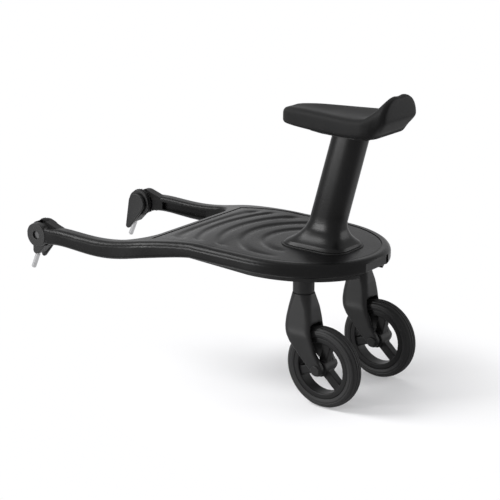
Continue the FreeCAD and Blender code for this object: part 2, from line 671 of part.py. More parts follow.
def build_deck(blank):
    """The deck shell, its grip panel and its cover."""
    shell = blank.cut(above_depth(blank, panel_outline(0), sz.panel_recess))
    hollow = prism(deck_outline(sz.wall, sz.slab_front_x), sz.rim_bottom - sz.overrun, sz.hollow_top)
    shell = shell.cut(hollow).cut(rear_recess())
    shell = shell.cut(prism(socket_loop(sz.flat_gap), sz.rim_bottom, sz.deck_top))
    for x, y in screw_places():
        shell = shell.fuse(screw_boss(x, y))
    shell = shell.fuse(release_guides())
    for side in SIDES.values():
        shell = shell.cut(arm_channel(side)).fuse(yoke(side)).fuse(tongue(side))
    place(shaped_part("deck_shell", shell.removeSplitter()))

    panel = above_depth(blank, panel_outline(sz.flat_gap), sz.panel_recess)
    panel = panel.common(lowered(blank, sz.panel_below_rim))
    panel = panel.cut(prism(lip_loop(sz.flat_gap), sz.hollow_top, sz.deck_top + sz.overrun))
    below_ripples = lowered(blank, sz.panel_below_rim + sz.ripple_depth)
    for column in ripple_columns():
        panel = panel.cut(column.cut(below_ripples))
    place(shaped_part("grip_panel", panel))

    place(shaped_part("deck_cover", cover_shape()))


def ripple_columns():
    """Crescents ahead of the seat that the panel's ripples are cut along."""
    columns = []
    middle = sz.seat_x + sz.ripple_setback
    low = sz.hollow_top - sz.overrun / 2
    high = sz.deck_top + sz.overrun
    for index in range(RIPPLES):
        radius = sz.ripple_first + sz.ripple_step * index
        outer = Part.makeCylinder(radius + sz.ripple_width / 2, high - low, V(middle, 0, low))
        inner = Part.makeCylinder(radius - sz.ripple_width / 2 + sz.ripple_shift, high - low,
                                  V(middle + sz.ripple_shift, 0, low))
        columns.append(outer.cut(inner))
    behind = V(sz.seat_x - sz.lip_length / 2, -sz.deck_half_width, low)
    beyond = box(behind, V(sz.deck_rear_x, sz.deck_half_width, high))
    edge = box(V(sz.notch_x - sz.overrun, sz.ripple_half_span, low),
               V(sz.deck_rear_x, sz.deck_half_width + sz.ripple_half_span, high))
    for outside in (edge, mirrored(edge, -1)):
        beyond = beyond.fuse(outside)
    return [column.cut(beyond) for column in columns]


def below_cover(lift):
    """Everything below the cover's underside, which rises towards its front; lift moves it up."""
    front = sz.cover_front_x - sz.overrun
    rear = sz.deck_rear_x + sz.overrun
    low = sz.cover_bottom - sz.overrun
    half = sz.deck_half_width + sz.overrun
    points = [
        V(front, -half, low), V(rear, -half, low), V(rear, -half, sz.cover_bottom + lift),
        V(sz.deck_round_x, -half, sz.cover_bottom + lift),
        V(sz.cover_front_x, -half, sz.rim_bottom - sz.cover_front_step + lift),
        V(front, -half, sz.rim_bottom - sz.cover_front_step + lift),
    ]
    return Part.Face(Part.makePolygon(points + points[:1])).extrude(AXIS_Y * (2 * float(half)))


def cover_shape():
    """Tray under the deck, with holes for the caster housings, the screws and the finger recess."""
    inset = sz.cover_inset
    outer = prism(deck_outline(inset, sz.cover_front_x), sz.cover_bottom - sz.cover_wall, sz.rim_bottom)
    inside = prism(deck_outline(inset + sz.cover_wall, sz.cover_front_x - sz.overrun),
                   sz.cover_bottom, sz.rim_bottom + sz.overrun)
    tray = outer.cut(below_cover(0)).cut(inside.cut(below_cover(sz.cover_wall)))
    rib_half = sz.bolt_width / 2 - sz.flat_gap
    rib = box(V(sz.release_spring_x, -rib_half, sz.cover_bottom + sz.cover_wall / 2),
              V(bolt_rear_x(), rib_half, sz.bolt_bottom - sz.flat_gap))
    tray = tray.fuse(rib)
    tray = tray.cut(Part.makeLoft(neck_sections(sz.flat_gap), True)).cut(rear_recess())
    for side in SIDES.values():
        y = sz.caster_axis_y * side
        tray = tray.cut(rod(sz.housing_radius + sz.flat_gap, V(sz.caster_axis_x, y, 0),
                            V(sz.caster_axis_x, y, sz.deck_top)))
    for x, y in screw_places():
        tray = tray.cut(rod(sz.screw_radius + sz.flat_gap, V(x, y, 0), V(x, y, sz.deck_top)))
    return tray


def screw_shape(foot):
    """Small screw that points up from the underside of its head."""
    head = rod(sz.screw_head_radius, foot - AXIS_Z * float(sz.screw_head_height), foot)
    shank = rod(sz.screw_radius, foot, foot + AXIS_Z * float(sz.screw_length))
    return head.fuse(shank)


def build_cover_screws():
    screws = [screw_shape(V(x, y, sz.cover_bottom)) for x, y in screw_places()]
    place(shaped_part("cover_screws", Part.makeCompound(screws)))


# Seat

def build_seat_socket():
    """Cup for the seat's plug, with a lip that shows round the skirt and a window for the release bolt."""
    floor_top = sz.plug_bottom - sz.flat_gap
    cup = prism(socket_loop(0), floor_top - sz.cover_wall, sz.lip_top)
    lip = prism(lip_loop(0), sz.deck_top - sz.panel_recess, sz.lip_top)
    inner = rectangle(sz.seat_x, sz.plug_length + sz.flat_gap * 2, sz.plug_width + sz.flat_gap * 2, 0)
    bore = prism(rounded_loop(inner, (sz.plug_round + sz.flat_gap,) * 4), floor_top, sz.lip_top + sz.overrun)
    half = sz.bolt_width / 2 + sz.flat_gap
    window = box(V(sz.seat_x, -half, sz.bolt_bottom - sz.flat_gap),
                 V(plug_rear_x() + sz.overrun, half, sz.bolt_bottom + sz.bolt_thickness + sz.flat_gap))
    place(shaped_part("seat_socket", cup.fuse(lip).cut(bore).cut(window).removeSplitter()))


def post_section(height, spread):
    """Level section of the post at a height; spread is the share of the skirt's extra width."""
    rise = (height - sz.lip_top) / (sz.post_top - sz.lip_top)
    middle = sz.seat_x + sz.post_lean * float(rise)
    shaft_length = sz.post_length - sz.post_taper * float(rise)
    length = shaft_length + (sz.skirt_length - shaft_length) * spread
    width = sz.post_width + (sz.skirt_width - sz.post_width) * spread
    radius = sz.post_round + (sz.skirt_round - sz.post_round) * spread
    return rounded_loop(rectangle(middle, length, width, height), (radius,) * 4)


def build_seat_post():
    """Post with its skirt, and the plug that goes into the socket."""
    foot = sz.lip_top + sz.flat_gap
    band_top = foot + sz.skirt_band
    skirt_corners = rectangle(sz.seat_x, sz.skirt_length, sz.skirt_width, 0)
    skirt = prism(rounded_loop(skirt_corners, (sz.skirt_round,) * 4), foot, band_top)
    flare_rows = zip(FLARE_HEIGHT_SHARES, FLARE_WIDTH_SHARES)
    flare_wires = [post_section(band_top + sz.flare_height * up, spread) for up, spread in flare_rows]
    flare = Part.makeLoft(flare_wires, True)
    shaft = Part.makeLoft([flare_wires[-1], post_section(sz.post_top, 0)], True)
    plug_corners = rectangle(sz.seat_x, sz.plug_length, sz.plug_width, 0)
    plug = prism(rounded_loop(plug_corners, (sz.plug_round,) * 4), sz.plug_bottom, foot)
    half = sz.bolt_width / 2 + sz.flat_gap
    notch = box(V(plug_rear_x() - sz.bolt_engagement - sz.flat_gap, -half, sz.bolt_bottom - sz.flat_gap),
                V(plug_rear_x() + sz.overrun, half, sz.bolt_bottom + sz.bolt_thickness + sz.flat_gap))
    post = skirt.fuse(flare).fuse(shaft).fuse(plug.cut(notch))
    for x, y in saddle_screw_places():
        hole_foot = V(x, y, sz.post_top - sz.screw_length)
        post = post.cut(rod(sz.screw_radius + sz.press_gap, hole_foot, V(x, y, sz.post_top)))
    place(shaped_part("seat_post", post.removeSplitter()))


def saddle_screw_places():
    middle = sz.seat_x + sz.post_lean
    for along in SIDES.values():
        for across in SIDES.values():
            yield (middle + sz.post_length / 2 * SADDLE_SCREW_SHARE * along,
                   sz.post_width / 2 * SADDLE_SCREW_SHARE * across)


def saddle_base_wire():
    """Outline of the saddle base, from the nose back and round."""
    rows = list(zip(BASE_PLACE_SHARES, BASE_WIDTH_SHARES))
    half_width = sz.saddle_half_width - sz.base_inset
    right = [V(sz.saddle_nose_x + sz.saddle_length * along, half_width * across, 0) for along, across in rows]
    left = [V(point.x, -point.y, 0) for point in reversed(right)]
    return rounded_loop(right + left, (sz.base_round,) * (2 * len(rows)))


def build_saddle():
    """Saddle base, the screws that hold it to the post, and the soft pad with its raised tail."""
    base = prism(saddle_base_wire(), sz.post_top, sz.saddle_base_top)
    screws = []
    for x, y in saddle_screw_places():
        seat = sz.saddle_base_top - sz.screw_head_height
        base = base.cut(rod(sz.screw_head_radius + sz.press_gap, V(x, y, seat), V(x, y, sz.saddle_base_top)))
        base = base.cut(rod(sz.screw_radius + sz.press_gap, V(x, y, sz.post_top), V(x, y, seat)))
        head = rod(sz.screw_head_radius, V(x, y, seat), V(x, y, sz.saddle_base_top))
        shank_foot = sz.post_top - sz.screw_length + sz.saddle_base_top - sz.post_top
        screws.append(head.fuse(rod(sz.screw_radius, V(x, y, shank_foot), V(x, y, seat))))
    place(shaped_part("saddle_base", base))
    place(shaped_part("saddle_screws", Part.makeCompound(screws)))

    top = sz.saddle_base_top + sz.saddle_thickness
    sections = []
    rows = zip(SADDLE_PLACE_SHARES, SADDLE_WIDTH_SHARES, SADDLE_TOP_SHARES, SADDLE_UNDER_SHARES,
               SADDLE_ROUND_SHARES, SADDLE_LOW_ROUND_SHARES)
    for along, across, rise, under, rounding, low_rounding in rows:
        half = sz.saddle_half_width * across
        low = sz.saddle_base_top + sz.flat_gap + sz.tail_rise * under
        high = top + sz.tail_rise * rise
        sections.append(upright_section(sz.saddle_nose_x + sz.saddle_length * along, half, low, high,
                                        half * rounding, half * low_rounding))
    place(shaped_part("saddle_pad", Part.makeLoft(sections, True)))


def build_seat_release():
    """Sliding bolt with its finger pull under the rear rim, and the spring that pushes it home."""
    half = sz.bolt_width / 2
    high = sz.bolt_bottom + sz.bolt_thickness
    tip = plug_rear_x() - sz.bolt_engagement
    bolt = box(V(tip, -half, sz.bolt_bottom), V(sz.pull_front_x + sz.pull_round, half, high))
    slot_half = sz.release_spring_radius + sz.flat_gap
    slot = box(V(sz.release_spring_x, -slot_half, sz.bolt_bottom - sz.overrun),
               V(bolt_rear_x(), slot_half, high + sz.overrun))
    pull = box(V(sz.pull_front_x, -sz.pull_width / 2, sz.bolt_bottom - sz.pull_drop),
               V(sz.pull_front_x + sz.pull_length, sz.pull_width / 2, high + sz.pull_rise))
    rear_edges = [edge for edge in pull.Edges if edge.BoundBox.XMin > float(sz.pull_front_x + sz.pull_round)]
    pull = pull.makeFillet(sz.pull_round, rear_edges)
    place(shaped_part("seat_release_pull", bolt.cut(slot).fuse(pull).removeSplitter()))
    spring = turned_body("release_spring", ring_corners(sz.release_spring_radius - sz.spring_wire,
                                                        sz.release_spring_radius, sz.release_spring_length))
    place(spring, x=sz.release_spring_x, z=sz.bolt_bottom + sz.bolt_thickness / 2, rotation=ALONG_X)


# Casters

def ring_corners(inner, outer, length):
    """Profile of a plain sleeve."""
    return [(inner, 0), (outer, 0), (outer, length), (inner, length)]


def build_caster_frame(name, side):
    """Housing and bush that stay with the deck."""
    y = sz.caster_axis_y * side
    bore = sz.stem_radius + sz.running_gap + sz.bush_wall + sz.press_gap
    tall = sz.hollow_top - sz.housing_bottom
    to_ledge = sz.bush_top - sz.housing_bottom
    wide = sz.clip_radius + sz.bush_wall
    housing = turned_body(f"caster_housing_{name}", [
        (bore, 0), (sz.housing_radius, 0), (sz.housing_radius, tall),
        (wide, tall), (wide, to_ledge), (bore, to_ledge),
    ])
    place(housing, x=sz.caster_axis_x, y=y, z=sz.housing_bottom)
    inner = sz.stem_radius + sz.running_gap
    bush = turned_body(f"swivel_bush_{name}", ring_corners(inner, inner + sz.bush_wall, to_ledge))
    place(bush, x=sz.caster_axis_x, y=y, z=sz.housing_bottom)


def build_swivel(name, side):
    """Stem and clip that turn with the fork."""
    y = sz.caster_axis_y * side
    neck = sz.bush_top + sz.flat_gap - sz.stem_bottom
    tall = sz.stem_top - sz.stem_bottom
    slim = sz.stem_radius - sz.clip_groove
    stem = turned_body(f"swivel_stem_{name}", [
        (0, 0), (sz.stem_radius, 0), (sz.stem_radius, neck), (slim, neck), (slim, neck + sz.clip_thickness),
        (sz.stem_radius, neck + sz.clip_thickness), (sz.stem_radius, tall), (0, tall),
    ])
    place(stem, x=sz.caster_axis_x, y=y, z=sz.stem_bottom)
    clip_corners = ring_corners(slim + sz.press_gap, sz.clip_radius, sz.clip_thickness)
    clip = turned_body(f"stem_clip_{name}", clip_corners)
    place(clip, x=sz.caster_axis_x, y=y, z=sz.bush_top + sz.flat_gap)


def tangent_point(point, centre, radius, turn):
    """Point where a line from an outside point touches a circle in the XZ plane; turn picks the side."""
    offset = point - centre
    spread = math.acos(float(radius) / offset.Length)
    direction = math.atan2(offset.z, offset.x) + turn * spread
    return centre + V(math.cos(direction), 0, math.sin(direction)) * float(radius)


def blade_face():
    """Side outline of a blade, from the hood down round the axle, in the plane y = 0."""
    axle = V(sz.wheel_trail, 0, sz.wheel_radius)
    high = sz.fork_top - sz.hood_height * BLADE_TOP_SHARE
    hood_low = sz.fork_top - sz.hood_height
    front_top = V(-sz.hood_front * BLADE_FRONT_SHARES[0], 0, high)
    front_low = V(-sz.hood_front * BLADE_FRONT_SHARES[1], 0, hood_low)
    rear_top = V(sz.hood_rear * BLADE_REAR_SHARES[0], 0, high)
    rear_low = V(sz.hood_rear * BLADE_REAR_SHARES[1], 0, axle.z + float(sz.blade_rear_rise))
    touch_front = tangent_point(front_low, axle, sz.blade_end_radius, 1)
    touch_rear = tangent_point(rear_low, axle, sz.blade_end_radius, -1)
    lowest = axle + (axle - (front_low + rear_low) * 0.5).normalize() * float(sz.blade_end_radius)
    edges = [
        Part.LineSegment(front_top, front_low).toShape(),
        Part.LineSegment(front_low, touch_front).toShape(),
        Part.Arc(touch_front, lowest, touch_rear).toShape(),
        Part.LineSegment(touch_rear, rear_low).toShape(),
        Part.LineSegment(rear_low, rear_top).toShape(),
        Part.LineSegment(rear_top, front_top).toShape(),
    ]
    return Part.Face(Part.Wire(edges))


def outer_blade_edges(blade, side):
    """Edges round a blade's outer face, apart from the one inside the hood."""
    outer = float(sz.fork_slot / 2 + sz.blade_thickness) * side
    high = float(sz.fork_top - sz.hood_height * BLADE_TOP_SHARE)
    edges = []
    for edge in blade.Edges:
        points = edge.discretize(EDGE_POINTS)
        outside = all(abs(point.y - outer) < WALL_TOLERANCE for point in points)
        if outside and not all(abs(point.z - high) < WALL_TOLERANCE for point in points):
            edges.append(edge)
    return edges


def fork_shape():
    """Hooded fork about the swivel axis, open below for the wheel."""
    half_width = sz.fork_slot / 2 + sz.blade_thickness
    sections = []
    rows = zip(HOOD_DEPTH_SHARES, HOOD_FRONT_SHARES, HOOD_REAR_SHARES, HOOD_WIDTH_SHARES, HOOD_ROUND_SHARES,
               HOOD_REAR_ROUND_SHARES)
    for depth, front, rear, across, front_share, rear_share in rows:
        height = sz.fork_top - sz.hood_height * depth
        half = half_width * across
        corners = [
            V(-sz.hood_front * front, -half, height), V(sz.hood_rear * rear, -half, height),
            V(sz.hood_rear * rear, half, height), V(-sz.hood_front * front, half, height),
        ]
        front_round = sz.hood_front_round * front_share
        rear_round = sz.hood_rear_round * rear_share
        sections.append(rounded_loop(corners, (front_round, rear_round, rear_round, front_round)))
    fork = Part.makeLoft(sections, True, True)
    for side in SIDES.values():
        face = blade_face()
        face.translate(AXIS_Y * (float(sz.fork_slot) / 2 * side))
        blade = face.extrude(AXIS_Y * (float(sz.blade_thickness) * side))
        fork = fork.fuse(blade.makeFillet(sz.blade_round, outer_blade_edges(blade, side)))
    half_slot = sz.fork_slot / 2
    axle_z = sz.wheel_radius
    wheel_room = rod(sz.wheel_radius + sz.tyre_clearance, V(sz.wheel_trail, -half_slot, axle_z),
                     V(sz.wheel_trail, half_slot, axle_z))
    fork = fork.cut(wheel_room)
    axle_bore = rod(sz.axle_radius + sz.press_gap, V(sz.wheel_trail, -half_width, axle_z),
                    V(sz.wheel_trail, half_width, axle_z))
    stem_bore = rod(sz.stem_radius + sz.press_gap, V(0, 0, sz.stem_bottom), V(0, 0, sz.fork_top))
    return fork.cut(axle_bore).cut(stem_bore).removeSplitter()


def build_fork(name, side):
    """Fork with its axle and axle caps."""
    y = sz.caster_axis_y * side
    axle_x = sz.caster_axis_x + sz.wheel_trail
    half_width = sz.fork_slot / 2 + sz.blade_thickness
    place(shaped_part(f"fork_{name}", fork_shape()), x=sz.caster_axis_x, y=y)
    axle = turned_body(f"axle_{name}", [
        (0, 0), (sz.axle_radius, 0), (sz.axle_radius, half_width * 2), (0, half_width * 2),
    ])
    place(axle, x=axle_x, y=y - half_width, z=sz.wheel_radius, rotation=ALONG_Y)
    caps = []
    for end in SIDES.values():
        foot = V(axle_x, y + half_width * end, sz.wheel_radius)
        cap = rod(sz.axle_cap_radius, foot, foot + AXIS_Y * (float(sz.axle_cap_height) * end))
        half_height = float(sz.axle_cap_height) / 2
        outer = [edge for edge in cap.Edges if abs(edge.BoundBox.Center.y - foot.y) > half_height * 1.5]
        caps.append(cap.makeFillet(half_height, outer))
    place(shaped_part(f"axle_caps_{name}", Part.makeCompound(caps)))


# Wheels

def build_tyre(name, y):
    """Ribbed tyre, turned about the axle."""
    inner = sz.wheel_radius - sz.tyre_depth
    corners = [(inner, 0), (sz.wheel_radius, 0)]
    middle = sz.tyre_width / 2
    first = middle - sz.tread_pitch * ((TREAD_GROOVES - 1) / 2)
    for index in range(TREAD_GROOVES):
        start = first + sz.tread_pitch * index - sz.tread_groove / 2
        end = start + sz.tread_groove
        floor = sz.wheel_radius - sz.tread_depth
        corners += [(sz.wheel_radius, start), (floor, start), (floor, end), (sz.wheel_radius, end)]
    corners += [(sz.wheel_radius, sz.tyre_width), (inner, sz.tyre_width)]
    tyre = turned_body(f"tyre_{name}", corners)
    width = float(sz.tyre_width)

    def shoulder(edge):
        box_of_edge = edge.BoundBox
        level = box_of_edge.ZLength < TOLERANCE and box_of_edge.XLength > 2 * float(inner + sz.tread_depth)
        return level and (abs(box_of_edge.ZMin) < TOLERANCE or abs(box_of_edge.ZMin - width) < TOLERANCE)

    round_edges(tyre, tyre.Tip, sz.tyre_round, shoulder)
    place(tyre, x=sz.caster_axis_x + sz.wheel_trail, y=y - sz.tyre_width / 2, z=sz.wheel_radius,
          rotation=ALONG_Y)


def spoke_shape(outer):
    """One spoke along +X from the hub to the ring, wider at its foot."""
    half = sz.spoke_width / 2
    wide = half + sz.spoke_foot
    start = sz.hub_radius / 2
    bend = outer - sz.spoke_foot
    corners = [(start, -half), (bend, -half), (outer, -wide), (outer, wide), (bend, half), (start, half)]
    points = [V(along, -sz.spoke_thickness / 2, across) for along, across in corners]
    face = Part.Face(rounded_loop(points, (0, sz.spoke_foot, 0, 0, sz.spoke_foot, 0)))
    return face.extrude(AXIS_Y * float(sz.spoke_thickness))


def wheel_shape():
    """Ring, spokes and hub about the Y axis, with seats for the bushes."""
    ring_outer = sz.wheel_radius - sz.tyre_depth - sz.press_gap
    ring_inner = ring_outer - sz.rim_ring_depth
    half_ring = sz.rim_ring_width / 2
    ring = rod(ring_outer, V(0, -half_ring, 0), V(0, half_ring, 0))
    ring = ring.cut(rod(ring_inner, V(0, -half_ring, 0), V(0, half_ring, 0)))
    half_hub = sz.hub_width / 2
    wheel = ring.fuse(rod(sz.hub_radius, V(0, -half_hub, 0), V(0, half_hub, 0)))
    inside_ring = rod(ring_inner + sz.press_gap, V(0, -half_ring, 0), V(0, half_ring, 0))
    for index in range(SPOKES):
        spoke = spoke_shape(ring_outer).common(inside_ring)
        spoke.rotate(V(0, 0, 0), AXIS_Y, -float(sz.spoke_turn) + FULL_TURN / SPOKES * index)
        wheel = wheel.fuse(spoke)
    bush_seat = sz.axle_radius + sz.running_gap + sz.wheel_bush_wall + sz.press_gap
    return wheel.cut(rod(bush_seat, V(0, -half_hub, 0), V(0, half_hub, 0))).removeSplitter()


def build_wheel(name, side):
    """Wheel with its tyre and the two flanged bushes that run on the axle."""
    y = sz.caster_axis_y * side
    x = sz.caster_axis_x + sz.wheel_trail
    place(shaped_part(f"wheel_rim_{name}", wheel_shape()), x=x, y=y, z=sz.wheel_radius)
    build_tyre(name, y)
    inner = sz.axle_radius + sz.running_gap
    bushes = []
    for end in SIDES.values():
        face = V(0, sz.hub_width / 2 * end, 0)
        outward = AXIS_Y * float(end)
        sleeve = rod(inner + sz.wheel_bush_wall, face - outward * float(sz.wheel_bush_length), face)
        flange = rod(sz.wheel_bush_flange_radius, face, face + outward * float(sz.wheel_bush_flange))
        bore = rod(inner, V(0, -sz.hub_width, 0), V(0, sz.hub_width, 0))
        bushes.append(sleeve.fuse(flange).cut(bore).removeSplitter())
    place(shaped_part(f"wheel_bushes_{name}", Part.makeCompound(bushes)), x=x, y=y, z=sz.wheel_radius)


# Coupling heads

def pivot(y):
    return V(sz.pivot_x, y, sz.pivot_z)


def leg_direction():
    """Unit vector from the pivot down the head's leg."""
    angle = math.radians(float(sz.head_tilt))
    return V(-math.sin(angle), 0, -math.cos(angle))


def teardrop(radius, reach, end_radius, low_y, high_y):
    """Solid teardrop round the pivot and the lower end of the leg."""
    top = pivot(low_y)
    end = top + leg_direction() * float(reach)
    along = leg_direction()
    across = AXIS_Y.cross(along)
    lean = math.asin((float(radius) - float(end_radius)) / float(reach))
    edges = []
    touches = []
    for turn in (1, -1):
        normal = across * (math.cos(lean) * turn) + along * math.sin(lean)
        touches.append((top + normal * float(radius), end + normal * float(end_radius)))
    (right_top, right_end), (left_top, left_end) = touches
    edges.append(Part.Arc(left_top, top - along * float(radius), right_top).toShape())
    edges.append(Part.LineSegment(right_top, right_end).toShape())
    edges.append(Part.Arc(right_end, end + along * float(end_radius), left_end).toShape())
    edges.append(Part.LineSegment(left_end, left_top).toShape())
    return Part.Face(Part.Wire(edges)).extrude(AXIS_Y * (float(high_y) - float(low_y)))


def tongue_room(low_y, high_y):
    """Room for the tongue as the head turns from one end of its range to the other."""
    room = rod(sz.slot_radius, pivot(low_y), pivot(high_y))
    half = sz.tongue_half_height + sz.flat_gap * 2
    reach = sz.head_radius + sz.overrun
    bar = box(V(0, low_y, -half), V(reach, high_y, half))
    bar.translate(V(sz.pivot_x, 0, sz.pivot_z))
    sweep = float(sz.head_turn_up + sz.head_turn_down)
    for index in range(SWEEP_STEPS + 1):
        turn = sweep * index / SWEEP_STEPS - float(sz.head_turn_down)
        copy = bar.copy()
        copy.rotate(pivot(0), AXIS_Y, -turn)
        room = room.fuse(copy)
    return room


def head_shape():
    """Right coupling head: inner wall, outer cheek and the leg that joins them below the tongue."""
    outer = sz.arm_outer_y
    slot_high = outer - sz.cheek
    slot_low = slot_high - sz.tongue_width - sz.flat_gap * 2
    head = rod(sz.head_radius, pivot(sz.head_inner_y), pivot(slot_high))
    head = head.fuse(rod(sz.cheek_radius, pivot(slot_high), pivot(outer)))
    head = head.fuse(teardrop(sz.boss_radius_top, sz.head_reach, sz.head_end_radius, sz.head_inner_y,
                              sz.boss_outer_y))
    head = head.cut(tongue_room(slot_low, slot_high))
    ring_low = slot_low - sz.ring_width - sz.press_gap
    ring_seat = rod(sz.ring_radius + sz.press_gap, pivot(ring_low), pivot(slot_low))
    ring_seat = ring_seat.cut(rod(sz.ring_bore - sz.press_gap, pivot(ring_low), pivot(slot_low)))
    head = head.cut(ring_seat)
    bolt_bore = rod(sz.pivot_bolt_radius + sz.press_gap, pivot(bolt_foot_y()), pivot(outer))
    head_seat = outer - sz.bolt_head_recess - sz.bolt_head_height
    head_bore = rod(sz.bolt_head_radius + sz.press_gap, pivot(head_seat), pivot(outer))
    pin_bore = rod(sz.pin_root_radius + sz.press_gap, pin_point(sz.pin_root), pin_point(sz.pin_tip))
    guide_bore = rod(sz.guide_radius + sz.running_gap, guide_point(sz.head_inner_y),
                     guide_point(spring_end_y()))
    return head.cut(bolt_bore).cut(head_bore).cut(pin_bore).cut(guide_bore).removeSplitter()


def bolt_foot_y():
    """Inner end of the pivot bolt, inside the head's inner wall."""
    return sz.head_inner_y + sz.button_margin


def pin_point(distance):
    return pivot(sz.pin_y) + leg_direction() * float(distance)


def guide_point(y):
    return pivot(y) + leg_direction() * float(sz.guide_reach)


def plate_outer_y():
    """Back of the button's plate, which faces the head."""
    return sz.head_inner_y - sz.button_travel - sz.button_margin


def guide_end_y():
    return plate_outer_y() + sz.guide_length


def spring_end_y():
    return guide_end_y() + sz.button_spring_length


def build_head(name, side):
    """Coupling head with its ratchet ring, pivot bolt, coupling pin, release button and spring."""
    place(shaped_part(f"coupling_head_{name}", mirrored(head_shape(), side)))

    slot_low = sz.arm_outer_y - sz.cheek - sz.tongue_width - sz.flat_gap * 2
    ring_low = slot_low - sz.ring_width
    ring = rod(sz.ring_radius, pivot(ring_low), pivot(slot_low))
    ring = ring.cut(rod(sz.ring_bore, pivot(ring_low), pivot(slot_low)))
    place(shaped_part(f"ratchet_ring_{name}", mirrored(ring, side)))

    head_low = sz.arm_outer_y - sz.bolt_head_recess - sz.bolt_head_height
    bolt = rod(sz.pivot_bolt_radius, pivot(bolt_foot_y()), pivot(head_low))
    bolt = bolt.fuse(rod(sz.bolt_head_radius, pivot(head_low), pivot(head_low + sz.bolt_head_height)))
    place(shaped_part(f"pivot_bolt_{name}", mirrored(bolt.removeSplitter(), side)))

    pin = turned_body(f"coupling_pin_{name}", [
        (0, 0), (sz.pin_root_radius, 0), (sz.pin_root_radius, sz.pin_shoulder - sz.pin_root),
        (sz.pin_radius, sz.pin_shoulder - sz.pin_root),
        (sz.pin_radius, sz.pin_tip - sz.pin_root - sz.pin_point),
        (sz.pin_radius - sz.pin_point, sz.pin_tip - sz.pin_root), (0, sz.pin_tip - sz.pin_root),
    ])
    root = pin_point(sz.pin_root)
    lean = FreeCAD.Rotation(AXIS_Z, leg_direction())
    pin.Placement = FreeCAD.Placement(V(root.x, root.y * side, root.z), lean)
    pin.Label = pin.Name
    sub_parts.append(pin)

    plate_low = plate_outer_y() - sz.button_thickness
    plate = teardrop(sz.button_radius, sz.button_reach, sz.tab_radius, plate_low, plate_outer_y())
    inner_edges = [edge for edge in plate.Edges if edge.BoundBox.YMax < float(plate_low) + TOLERANCE]
    plate = plate.makeFillet(sz.button_thickness / 3, inner_edges)
    button = plate.fuse(rod(sz.guide_radius, guide_point(plate_outer_y()), guide_point(guide_end_y())))
    place(shaped_part(f"release_button_{name}", mirrored(button, side)))

    spring = rod(sz.button_spring_radius, guide_point(guide_end_y()), guide_point(spring_end_y()))
    core = rod(sz.button_spring_radius - sz.spring_wire, guide_point(guide_end_y()),
               guide_point(spring_end_y()))
    place(shaped_part(f"button_spring_{name}", mirrored(spring.cut(core), side)))


# The whole board

def build_board():
    build_deck(deck_blank())
    build_cover_screws()
    build_seat_socket()
    build_seat_post()
    build_saddle()
    build_seat_release()
    for name, side in SIDES.items():
        build_caster_frame(name, side)
        build_swivel(name, side)
        build_fork(name, side)
        build_wheel(name, side)
        build_head(name, side)


def write_parts():
    """Checks every object, then writes one file for each sub-part."""
    doc.recompute()
    for item in doc.Objects:
        if "Invalid" in item.State or "Error" in item.State:
            raise RuntimeError(f"{item.Name} failed to build: {item.State}")
    for part in sub_parts:
        if part.Shape.isNull() or not part.Shape.isValid() or not part.Shape.Solids:
            raise RuntimeError(f"{part.Label} has no valid solid")
    os.makedirs("parts", exist_ok=True)
    for part in sub_parts:
        part.Shape.exportStep(f"parts/{part.Label}.step")
        print(f"{part.Label}: {len(part.Shape.Solids)} solid(s), {part.Shape.Volume / 1000:.2f} cm3")


build_board()
write_parts()
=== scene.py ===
# %% [markdown]
# # A buggy board in black plastic
# The board is hooked behind a stroller and an older child rides on it, standing on the deck or sitting on the
# saddle. Almost all of it is one colour, a charcoal plastic, so the picture lives from soft highlights along
# rounded edges. This lesson dresses the measured solids of the board with finishes, models the pieces that
# need more shape than a plain solid has, and lights everything like a product on a white table.

# %% Load the measured solids
import json
import math

import bmesh
import bpy
import numpy as np
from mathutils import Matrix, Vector
from mathutils.bvhtree import BVHTree
from mathutils.geometry import delaunay_2d_cdt


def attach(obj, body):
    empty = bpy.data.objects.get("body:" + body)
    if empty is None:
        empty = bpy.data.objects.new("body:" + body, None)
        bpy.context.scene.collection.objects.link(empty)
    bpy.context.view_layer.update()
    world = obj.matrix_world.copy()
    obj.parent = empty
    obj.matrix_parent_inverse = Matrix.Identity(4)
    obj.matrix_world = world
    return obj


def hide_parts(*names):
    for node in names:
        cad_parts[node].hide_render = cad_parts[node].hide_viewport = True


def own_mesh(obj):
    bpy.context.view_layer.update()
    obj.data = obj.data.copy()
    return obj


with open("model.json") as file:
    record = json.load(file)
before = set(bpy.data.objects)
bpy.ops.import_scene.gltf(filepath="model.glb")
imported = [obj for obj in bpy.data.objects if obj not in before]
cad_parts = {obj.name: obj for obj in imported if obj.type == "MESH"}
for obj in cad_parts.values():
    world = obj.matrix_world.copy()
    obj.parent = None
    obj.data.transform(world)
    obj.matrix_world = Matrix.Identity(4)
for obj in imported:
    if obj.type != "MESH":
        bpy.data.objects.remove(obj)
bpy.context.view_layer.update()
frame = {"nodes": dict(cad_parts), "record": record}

MM = 0.001
record = frame["record"]
slot_of = {entry["node"]: entry["material_slot"] for entry in record["subparts"]}
body_of = {node: body for body, nodes in record["behaviour"]["bodies"].items() for node in nodes}
SIDES = {"left": -1, "right": 1}

# %% [markdown]
# ## Camera
# The view is worked out from the board itself: the camera stands to the rear left, a little above the saddle,
# and looks down by about 17 degrees. A long lens keeps the two wheels nearly the same size. The three numbers
# that matter are the direction round the board, the tilt and the focal length.

# %% Camera
VIEW_TURN = math.radians(37.33)
VIEW_TILT = math.radians(17.146)
FOCAL_PIXELS = 1494.372
PICTURE_PIXELS = 500
SENSOR = 36.0
SIGHT = 50
CAMERA_PLACE = Vector((1352.661, -1714.347, 845.574)) * MM

